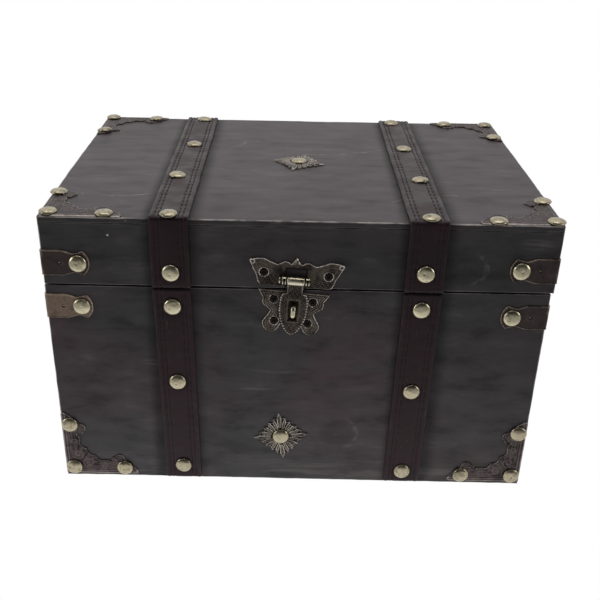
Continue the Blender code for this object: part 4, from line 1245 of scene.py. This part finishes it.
class Graph:
    """Short calls that add nodes to one material or world."""

    def __init__(self, owner):
        owner.use_nodes = True
        self.tree = owner.node_tree

    def node(self, kind, inputs, output=0, **settings):
        made = self.tree.nodes.new(kind)
        for key, value in settings.items():
            setattr(made, key, value)
        for key, value in inputs.items():
            self.feed(made.inputs[key], value)
        return made.outputs[output]

    def feed(self, socket, value):
        if isinstance(value, bpy.types.NodeSocket):
            self.tree.links.new(value, socket)
        else:
            socket.default_value = value

    def spot(self):
        return self.node("ShaderNodeTexCoord", {}, "Object")

    def scaled(self, vector, scale):
        return self.node("ShaderNodeMapping", {"Vector": vector, "Scale": scale})

    def noise(self, vector, scale, detail, roughness=0.55, output="Fac"):
        inputs = {"Vector": vector, "Scale": scale, "Detail": detail, "Roughness": roughness}
        return self.node("ShaderNodeTexNoise", inputs, output)

    def math(self, operation, a, b=0.0):
        return self.node("ShaderNodeMath", {0: a, 1: b}, operation=operation)

    def times(self, a, b):
        return self.math("MULTIPLY", a, b)

    def most(self, a, b):
        return self.math("MAXIMUM", a, b)

    def rest(self, share):
        return self.math("SUBTRACT", 1.0, share)

    def band(self, value, middle, far, near):
        """1 where the value lies within near of the middle, 0 where it lies beyond far."""
        return self.fit(self.math("ABSOLUTE", self.math("SUBTRACT", value, middle)), far, near)

    def vector(self, operation, a, b=(0, 0, 0), output=0):
        return self.node("ShaderNodeVectorMath", {0: a, 1: b}, output, operation=operation)

    def length(self, vector):
        return self.vector("LENGTH", vector, output="Value")

    def toward(self, vector, direction):
        """The cosine of the angle between a vector and a direction of length 1."""
        return self.vector("DOT_PRODUCT", self.vector("NORMALIZE", vector), direction, output="Value")

    def axis(self, vector, name):
        return self.node("ShaderNodeSeparateXYZ", {0: vector}, name)

    def white_to_camera(self, strength):
        """The strength as the object sees it; the camera's own rays see plain white."""
        seen = self.node("ShaderNodeLightPath", {}, "Is Camera Ray")
        return self.most(self.times(strength, self.rest(seen)), seen)

    def fit(self, value, low, high, to_low=0.0, to_high=1.0):
        inputs = {"Value": value, "From Min": low, "From Max": high, "To Min": to_low, "To Max": to_high}
        return self.node("ShaderNodeMapRange", inputs, interpolation_type="SMOOTHSTEP")

    def mix(self, share, a, b):
        return self.node("ShaderNodeMix", {0: share, 6: a, 7: b}, 2, data_type="RGBA")

    def attribute(self, name):
        return self.node("ShaderNodeAttribute", {}, "Fac", attribute_name=name)

    def bump(self, height, strength, distance):
        return self.node("ShaderNodeBump", {"Height": height, "Strength": strength, "Distance": distance})

    def finish(self, **inputs):
        shader = self.tree.nodes["Principled BSDF"]
        for key, value in inputs.items():
            self.feed(shader.inputs[key.replace("_", " ")], value)


def new_material(name, colour):
    material = bpy.data.materials.new(name)
    material.diffuse_color = colour
    return material, Graph(material)


WOOD_BLACK = tone(38, 37, 37)
WOOD_GREY = tone(50, 48, 49)
WOOD_PURPLE = tone(56, 42, 45)
WOOD_DEEP = tone(13, 12, 12)
WOOD_PALE = tone(92, 87, 86)
# rubbed paint on the edges, made bright enough to be a painted highlight too
WOOD_EDGE_RUB_AND_HIGHLIGHT = tone(196, 190, 186)
WOOD_GLOSS = (1.0, 0.96, 0.97, 1.0)
WOOD_PURPLE_GLOSS = (1.0, 0.87, 0.92, 1.0)
WOOD_WANDER = 10 * MM           # how far the grain is bent
WOOD_SKIN = (2.6 * MM, 1.6 * MM)    # marks fade out between these depths, so they stay off inner faces
# centre and radius
WOOD_CHIPS = (
    ((-0.1095, -0.1085, 0.1718), 0.0007),
    ((-0.0985, -0.1085, 0.1806), 0.0003),
    ((-0.131, -0.070, 0.1825), 0.0003),
    ((0.058, -0.108, 0.092), 0.0003),
)
WOOD_KNOTS = (
    ((0.028, -0.108, 0.037), 0.0120),
    ((0.099, -0.1085, 0.153), 0.0100),
    ((-0.050, 0.045, 0.1825), 0.0110),
)
# centre, and half the length and half the width of a dry, pale patch along the grain
WOOD_SCUFFS = (
    ((-0.016, -0.108, 0.083), 0.026, 0.0024),
    ((-0.025, -0.108, 0.070), 0.016, 0.0014),
    ((-0.087, -0.108, 0.088), 0.012, 0.0030),
    ((0.005, -0.108, 0.012), 0.042, 0.0040),
    ((0.137, -0.1085, 0.171), 0.014, 0.0055),
    ((0.118, -0.047, 0.183), 0.026, 0.0035),
    ((0.094, -0.034, 0.183), 0.008, 0.0025),
)
# centre and radius of an arc, and the direction from its centre to its middle
WOOD_SCRATCHES = (
    ((-0.112, -0.030, 0.1825), 0.042, (0.2, -1.0)),
    ((0.095, -0.120, 0.1825), 0.060, (-0.3, 1.0)),
    ((0.010, 0.110, 0.1825), 0.090, (0.5, -1.0)),
)


def painted_strap_shadow(g, spot):
    """How close a point lies to a strap's edges, from 0 to 1: painted shadow that darkens the wood there."""
    near = 0.0
    for hand in HANDS:
        node = f"lid_strap_{hand}"
        low, high = box_of(node)
        half = (high[0] - low[0]) / 2
        past = g.math("SUBTRACT", g.axis(spot, "X"), middle_of(node)[0])
        left = g.fit(past, -half - 7 * MM, -half, 0.0, 0.5)
        right = g.fit(past, half + 9 * MM, half, 0.0, 1.0)
        near = g.most(near, g.math("MINIMUM", g.times(left, 2.0), right))
    return near


def outside(g, spot):
    """1 on the outer faces of the case and the lid, 0 on their inner faces."""
    low, high = box_of("case_front_board", "lid_top_panel", *[f"lid_{board}" for board in UPRIGHT_BOARDS])
    from_middle = g.vector("ABSOLUTE", g.vector("SUBTRACT", spot, tuple((low + high) / 2)))
    outer = 0.0
    for name, half in zip("XYZ", (high - low) / 2):
        outer = g.most(outer, g.fit(g.axis(from_middle, name), half - WOOD_SKIN[0], half - WOOD_SKIN[1]))
    return outer


def wood_scuffs(g, spot):
    """Dry, pale patches, from 0 to 1."""
    pale = 0.0
    for centre, length, width in WOOD_SCUFFS:
        away = g.vector("MULTIPLY", g.vector("SUBTRACT", spot, centre), (1 / length, 1 / width, 1 / width))
        pale = g.most(pale, g.fit(g.length(away), 1.0, 0.1))
    return pale


def wood_marks(g, spot):
    """Curved scratches and small chips, from 0 to 1."""
    marks = 0.0
    for centre, radius, (toward_x, toward_y) in WOOD_SCRATCHES:
        away = g.vector("SUBTRACT", spot, centre)
        line = g.band(g.length(away), radius, 0.0006, 0.0001)
        marks = g.most(marks, g.times(line, g.fit(g.toward(away, (toward_x, toward_y, 0)), 0.93, 0.99)))
    marks = g.times(marks, g.fit(g.noise(spot, 180, 2), 0.35, 0.6, 0.05, 0.3))
    wobble = g.times(g.noise(spot, 700, 2), 0.0009)
    for centre, radius in WOOD_CHIPS:
        distance = g.math("ADD", g.length(g.vector("SUBTRACT", spot, centre)), wobble)
        marks = g.most(marks, g.fit(distance, radius + 0.0005, radius + 0.0002))
    return marks


def wood_purple(g, spot, on_top):
    """Where the stain looks purple, from 0 to 1: in patches in front, and all over the lid's top."""
    to_right = g.fit(g.axis(spot, "X"), 0.07, 0.10, 1.0, 0.3)
    upward = g.fit(g.axis(spot, "Z"), 0.12, 0.14, 1.0, 0.3)
    patches = g.times(g.fit(g.noise(spot, 11, 3), 0.42, 0.64), g.math("MINIMUM", to_right, upward))
    return g.most(patches, g.times(on_top, 0.8))


def wood_pale(g, spot, grain, mottle, thin_streaks):
    """Where the stain is pale: in short streaks, strongest near the floor, and in dry scuffs."""
    pale_streaks = g.most(g.fit(g.axis(spot, "Z"), 0.028, 0.006, 0.0, 0.5), g.fit(mottle, 0.52, 0.72, 0.0, 0.35))
    pale_streaks = g.times(pale_streaks, g.fit(thin_streaks, 0.48, 0.70))
    return g.most(pale_streaks, g.times(wood_scuffs(g, spot), g.fit(grain, 0.42, 0.58, 0.0, 0.6)))


def wood_knots(g, spot, bent_spot, along, colour):
    """The colour with its knots: a dark disc, a broken pale crescent on the right and a pale heart."""
    for centre, radius in WOOD_KNOTS:
        away = g.vector("SUBTRACT", bent_spot, tuple(value + WOOD_WANDER / 2 for value in centre))
        squeeze = [0.9 if k == along else 1.0 for k in range(3)]
        distance = g.length(g.vector("MULTIPLY", away, squeeze))
        colour = g.mix(g.fit(distance, radius, 0.6 * radius, 0.0, 0.45), colour, WOOD_DEEP)
        on_right = g.fit(g.toward(away, X), 0.2, 0.8, 0.0, 0.7)
        crescent = g.times(g.band(distance, radius, 0.0018, 0.0002), on_right)
        crescent = g.times(crescent, g.fit(g.noise(spot, 240, 3), 0.40, 0.64))
        heart = g.fit(distance, 0.0009, 0.0003, 0.0, 0.5)
        colour = g.mix(g.most(crescent, heart), colour, WOOD_PALE)
    return colour


def wood_material(name, along):
    """Black-stained wood, rubbed pale on its edges with a painted highlight there, with faint streaks, purple
    patches and knots, and painted shadow beside the straps.
    """
    material, g = new_material(name, tone(44, 44, 45))
    spot = g.spot()
    wander = g.vector("MULTIPLY", g.noise(spot, 16, 2, output="Color"), (WOOD_WANDER,) * 3)
    bent_spot = g.vector("ADD", spot, wander)

    def streaks(lengthwise, crosswise, detail=4):
        scale = [lengthwise if k == along else crosswise for k in range(3)]
        return g.noise(g.scaled(bent_spot, scale), 1.0, detail, 0.6)

    grain = streaks(14.0, 420.0, 6)
    broad = streaks(9.0, 45.0)
    mottle = streaks(38.0, 95.0, 6)
    lid_top = box_of("lid_top_panel")[1][2]
    on_top = g.fit(g.axis(spot, "Z"), lid_top - 2 * MM, lid_top)
    purple = wood_purple(g, spot, on_top)
    colour = g.mix(purple, WOOD_BLACK, WOOD_PURPLE)
    greyed = g.times(g.fit(broad, 0.34, 0.70), g.rest(g.times(on_top, 0.5)))
    colour = g.mix(greyed, colour, WOOD_GREY)
    colour = g.mix(g.fit(mottle, 0.48, 0.30, 0.0, 0.5), colour, WOOD_DEEP)
    colour = g.mix(wood_pale(g, spot, grain, mottle, streaks(22.0, 190.0)), colour, WOOD_PALE)
    colour = g.mix(g.fit(grain, 0.44, 0.28, 0.0, 0.4), colour, WOOD_DEEP)
    colour = wood_knots(g, spot, bent_spot, along, colour)
    outer = outside(g, spot)
    # Rubbed paint and a painted highlight along the edges, with scratches and chips
    rub = g.times(g.attribute("wear"), g.fit(g.noise(spot, 90, 4), 0.36, 0.60, 0.25, 1.0))
    rub = g.most(g.times(rub, 0.9), g.times(wood_marks(g, spot), outer))
    colour = g.mix(rub, colour, WOOD_EDGE_RUB_AND_HIGHLIGHT)
    # Painted shadow on the wood beside the straps, stronger on the lid's top and only on outer faces; it also
    # dims the wood's shine there
    shade = g.times(painted_strap_shadow(g, spot), g.fit(on_top, 0.0, 1.0, 0.5, 0.75))
    shade = g.times(shade, outer)
    colour = g.mix(shade, colour, WOOD_DEEP)
    shine = g.times(g.fit(mottle, 0.3, 0.7, 0.33, 0.53), g.rest(shade))
    tint = g.mix(purple, WOOD_GLOSS, WOOD_PURPLE_GLOSS)
    rough = g.fit(broad, 0.3, 0.7, 0.48, 0.52)
    bump = g.bump(g.math("ADD", grain, broad), 0.12, 0.2 * MM)
    g.finish(Base_Color=colour, Roughness=rough, Normal=bump, Specular_IOR_Level=shine, Specular_Tint=tint)
    return material


LEATHER_DARK = tone(23, 14, 17)
LEATHER_BROWN = tone(35, 21, 25)
LEATHER_RUBBED = tone(58, 46, 46)
LEATHER_FLECK = tone(92, 80, 76)
# painted shade in the stitch holes
LEATHER_HOLE_SHADE = tone(20, 14, 15)
LEATHER_GLOSS = (1.0, 0.78, 0.83, 1.0)
LEATHER_SHEEN = (1.0, 0.86, 0.80, 1.0)
THREAD_DARK = tone(24, 17, 18)
THREAD_PALE = tone(56, 46, 45)


def leather_material():
    """Dark brown leather with fine grain, slightly rubbed ridges and a few pale flecks."""
    material, g = new_material("leather", tone(43, 33, 35))
    spot = g.spot()
    pebbles = g.node("ShaderNodeTexVoronoi", {"Vector": spot, "Scale": 1400.0, "Randomness": 1.0}, "Distance")
    blotch = g.noise(spot, 60, 4)
    colour = g.mix(g.fit(blotch, 0.38, 0.62), LEATHER_DARK, LEATHER_BROWN)
    wear = g.attribute("wear")
    broken = g.fit(g.noise(g.scaled(spot, (260, 60, 60)), 1.0, 4), 0.40, 0.66)
    scuff = g.times(g.fit(wear, 0.35, 0.95), broken)
    colour = g.mix(g.times(scuff, 0.55), colour, LEATHER_RUBBED)
    fleck = g.fit(g.noise(g.scaled(spot, (700, 700, 160)), 1.0, 3), 0.70, 0.78)
    colour = g.mix(g.times(fleck, 0.5), colour, LEATHER_FLECK)
    # Painted shade in the stitch holes, where the wear is below 0
    colour = g.mix(g.fit(wear, -0.05, -0.4), colour, LEATHER_HOLE_SHADE)
    bump = g.bump(g.math("ADD", g.times(pebbles, 0.5), g.noise(spot, 420, 4)), 0.3, 0.12 * MM)
    rough = g.fit(blotch, 0.35, 0.65, 0.42, 0.58)
    # the stitch holes also lose their shine, as part of their painted shade
    shine = g.fit(wear, -0.35, 0.1, 0.05, 0.27)
    g.finish(Base_Color=colour, Roughness=rough, Normal=bump, Specular_IOR_Level=shine)
    sheen = g.fit(wear, -0.3, 0.3, 0.0, 0.10)
    g.finish(Specular_Tint=LEATHER_GLOSS, Sheen_Weight=sheen, Sheen_Roughness=0.4, Sheen_Tint=LEATHER_SHEEN)
    return material


def thread_material():
    material, g = new_material("thread", tone(30, 24, 25))
    spot = g.spot()
    colour = g.mix(g.fit(g.noise(spot, 130, 3), 0.55, 0.75), THREAD_DARK, THREAD_PALE)
    twist = g.bump(g.noise(spot, 2200, 2), 0.5, 0.1 * MM)
    g.finish(Base_Color=colour, Roughness=0.8, Normal=twist, Specular_IOR_Level=0.3)
    return material


def metal_material(name, hollow, face, edge, polish, speck):
    """Plated metal: dark in its hollows, rubbed bright on its raised edges, with dark specks. The hollow
    colour also paints shade on the corner plates' sides and in the front of the latch ears' groove.
    """
    material, g = new_material(name, face)
    spot = g.spot()
    wear = g.attribute("wear")
    cloud = g.noise(spot, 170, 5)
    fine = g.noise(spot, 900, 3)
    rubbed = g.math("ADD", wear, g.fit(cloud, 0.3, 0.7, -0.16, 0.16))
    colour = g.mix(g.fit(rubbed, 0.02, 0.40), hollow, face)
    colour = g.mix(g.fit(rubbed, 0.45, 0.95), colour, edge)
    dirt = g.times(g.fit(g.math("ADD", g.times(cloud, 0.5), g.times(fine, 0.5)), 0.52, 0.62), speck)
    colour = g.mix(dirt, colour, hollow)
    rough = g.math("ADD", g.fit(cloud, 0.3, 0.7, polish, polish + 0.14), g.times(dirt, 0.3))
    bump = g.bump(g.math("ADD", fine, cloud), 0.18, 0.1 * MM)
    metallic = g.fit(rubbed, 0.0, 0.6, 0.75, 1.0)
    g.finish(Base_Color=colour, Roughness=rough, Metallic=metallic, Normal=bump)
    return material


# name, slot, colours of hollows, faces and rubbed edges, roughness, strength of the specks
METALS = (
    ("bronze", "bronze", (32, 27, 27), (90, 80, 79), (186, 179, 171), 0.42, 0.22),
    ("bronze_dark", "bronze", (16, 12, 12), (70, 61, 60), (172, 156, 142), 0.46, 0.12),
    ("bronze_tan", "bronze", (24, 18, 14), (128, 111, 99), (196, 180, 160), 0.46, 0.25),
    ("bronze_star", "bronze", (26, 21, 19), (112, 103, 96), (208, 202, 192), 0.38, 0.25),
    ("bronze_latch", "bronze", (26, 22, 19), (98, 88, 80), (210, 205, 196), 0.38, 0.35),
    ("bronze_screw", "bronze", (14, 12, 11), (44, 38, 36), (120, 112, 104), 0.42, 0.3),
    ("bronze_hinge", "bronze", (56, 48, 38), (118, 104, 84), (186, 172, 140), 0.36, 0.4),
    ("brass_nail", "brass", (62, 56, 40), (172, 162, 138), (200, 192, 164), 0.24, 0.4),
    ("brass_bright", "brass", (40, 36, 26), (188, 180, 150), (232, 226, 204), 0.24, 0.15),
)


def make_materials():
    """Each look's material, with the record's slot that it belongs to."""
    made = {
        "wood": (wood_material("wood", 0), "wood"),
        "wood_side": (wood_material("wood_side", 1), "wood"),
        "leather": (leather_material(), "leather"),
        "thread": (thread_material(), "leather"),
    }
    for name, slot, hollow, face, edge, polish, speck in METALS:
        made[name] = (metal_material(name, tone(*hollow), tone(*face), tone(*edge), polish, speck), slot)
    return made


# Stage

FLOOR_HALF = 12.0
FLOOR_Z = -0.2 * MM
FLOOR_NEAR = 1.08
FLOOR_FAR = 0.42
FLOOR_REACH = (0.13, 0.43)
FLOOR_LEFT_RIGHT = (1.08, 0.94)
WORLD_FRONT = 0.03
WORLD_BACK = 1.0
WORLD_LEFT_RIGHT = (1.05, 0.94)
LIT_MIDDLE = (0, 0, 0.1)        # what the softboxes face


def make_floor():
    """A white light table: it is brightest near the object, and to the eye it is plain white."""
    mesh = bpy.data.meshes.new("floor")
    corners = [(x * FLOOR_HALF, y * FLOOR_HALF, 0) for x, y in ((-1, -1), (1, -1), (1, 1), (-1, 1))]
    mesh.from_pydata(corners, [], [(0, 1, 2, 3)])
    floor = add_object("floor", mesh)
    floor.location.z = FLOOR_Z
    material = bpy.data.materials.new("floor")
    g = Graph(material)
    spot = g.spot()
    away = g.length(g.vector("MULTIPLY", spot, (0.8, 1.0, 0.0)))
    strength = g.fit(away, *FLOOR_REACH, FLOOR_NEAR, FLOOR_FAR)
    strength = g.times(strength, g.fit(g.axis(spot, "X"), -0.35, 0.35, *FLOOR_LEFT_RIGHT))
    g.finish(Base_Color=(0, 0, 0, 1), Roughness=1.0, Specular_IOR_Level=0.0)
    g.finish(Emission_Color=(1, 1, 1, 1), Emission_Strength=g.white_to_camera(strength))
    mesh.materials.append(material)


def make_world():
    """White behind the object and overhead, dark in front, as in a studio with the lights behind."""
    world = bpy.data.worlds.new("studio")
    bpy.context.scene.world = world
    g = Graph(world)
    view = g.node("ShaderNodeTexCoord", {}, "Generated")
    strength = g.fit(g.axis(view, "Y"), -0.35, 0.6, WORLD_FRONT, WORLD_BACK)
    strength = g.times(strength, g.fit(g.axis(view, "X"), -0.3, 0.3, *WORLD_LEFT_RIGHT))
    background = g.tree.nodes["Background"]
    g.feed(background.inputs["Color"], (1, 1, 1, 1))
    g.feed(background.inputs["Strength"], g.white_to_camera(strength))


def add_softbox(name, spot, size, power):
    """A rectangular area light that faces the object."""
    light = bpy.data.lights.new(name, "AREA")
    light.shape = "RECTANGLE"
    light.size, light.size_y = size
    light.energy = power
    obj = add_object(name, light)
    obj.location = spot
    obj.rotation_mode = "QUATERNION"
    obj.rotation_quaternion = (Vector(LIT_MIDDLE) - Vector(spot)).to_track_quat("-Z", "Y")


def make_lights():
    add_softbox("overhead", (0, 0.1, 1.5), (1.2, 0.8), 6)
    add_softbox("left_side", (-1.4, -0.5, 0.6), (0.5, 0.8), 5)
    add_softbox("right_side", (1.4, -0.5, 0.6), (0.5, 0.8), 4)


def make_camera():
    data = bpy.data.cameras.new("camera")
    data.lens = CAMERA_LENS
    data.shift_x, data.shift_y = CAMERA_SHIFT
    data.clip_start = 0.01
    camera = add_object("camera", data)
    turn = Matrix.Rotation(CAMERA_YAW, 4, "Z")
    forward = turn @ Vector((0, math.cos(CAMERA_PITCH), -math.sin(CAMERA_PITCH)))
    up = turn @ Vector((0, math.sin(CAMERA_PITCH), math.cos(CAMERA_PITCH)))
    right = forward.cross(up)
    rolled = math.cos(CAMERA_ROLL) * right + math.sin(CAMERA_ROLL) * up
    camera.matrix_world = face_frame(CAMERA_SPOT, rolled, rolled.cross(forward))
    bpy.context.scene.camera = camera


def make_stage():
    make_floor()
    make_world()
    make_lights()
    make_camera()
    bpy.context.scene.view_settings.view_transform = "Standard"


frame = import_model()
MATERIALS = make_materials()
make_boards()
make_straps()
make_brackets()
make_corners()
make_stars()
make_latch()
make_hinges()
make_nails()
make_stage()
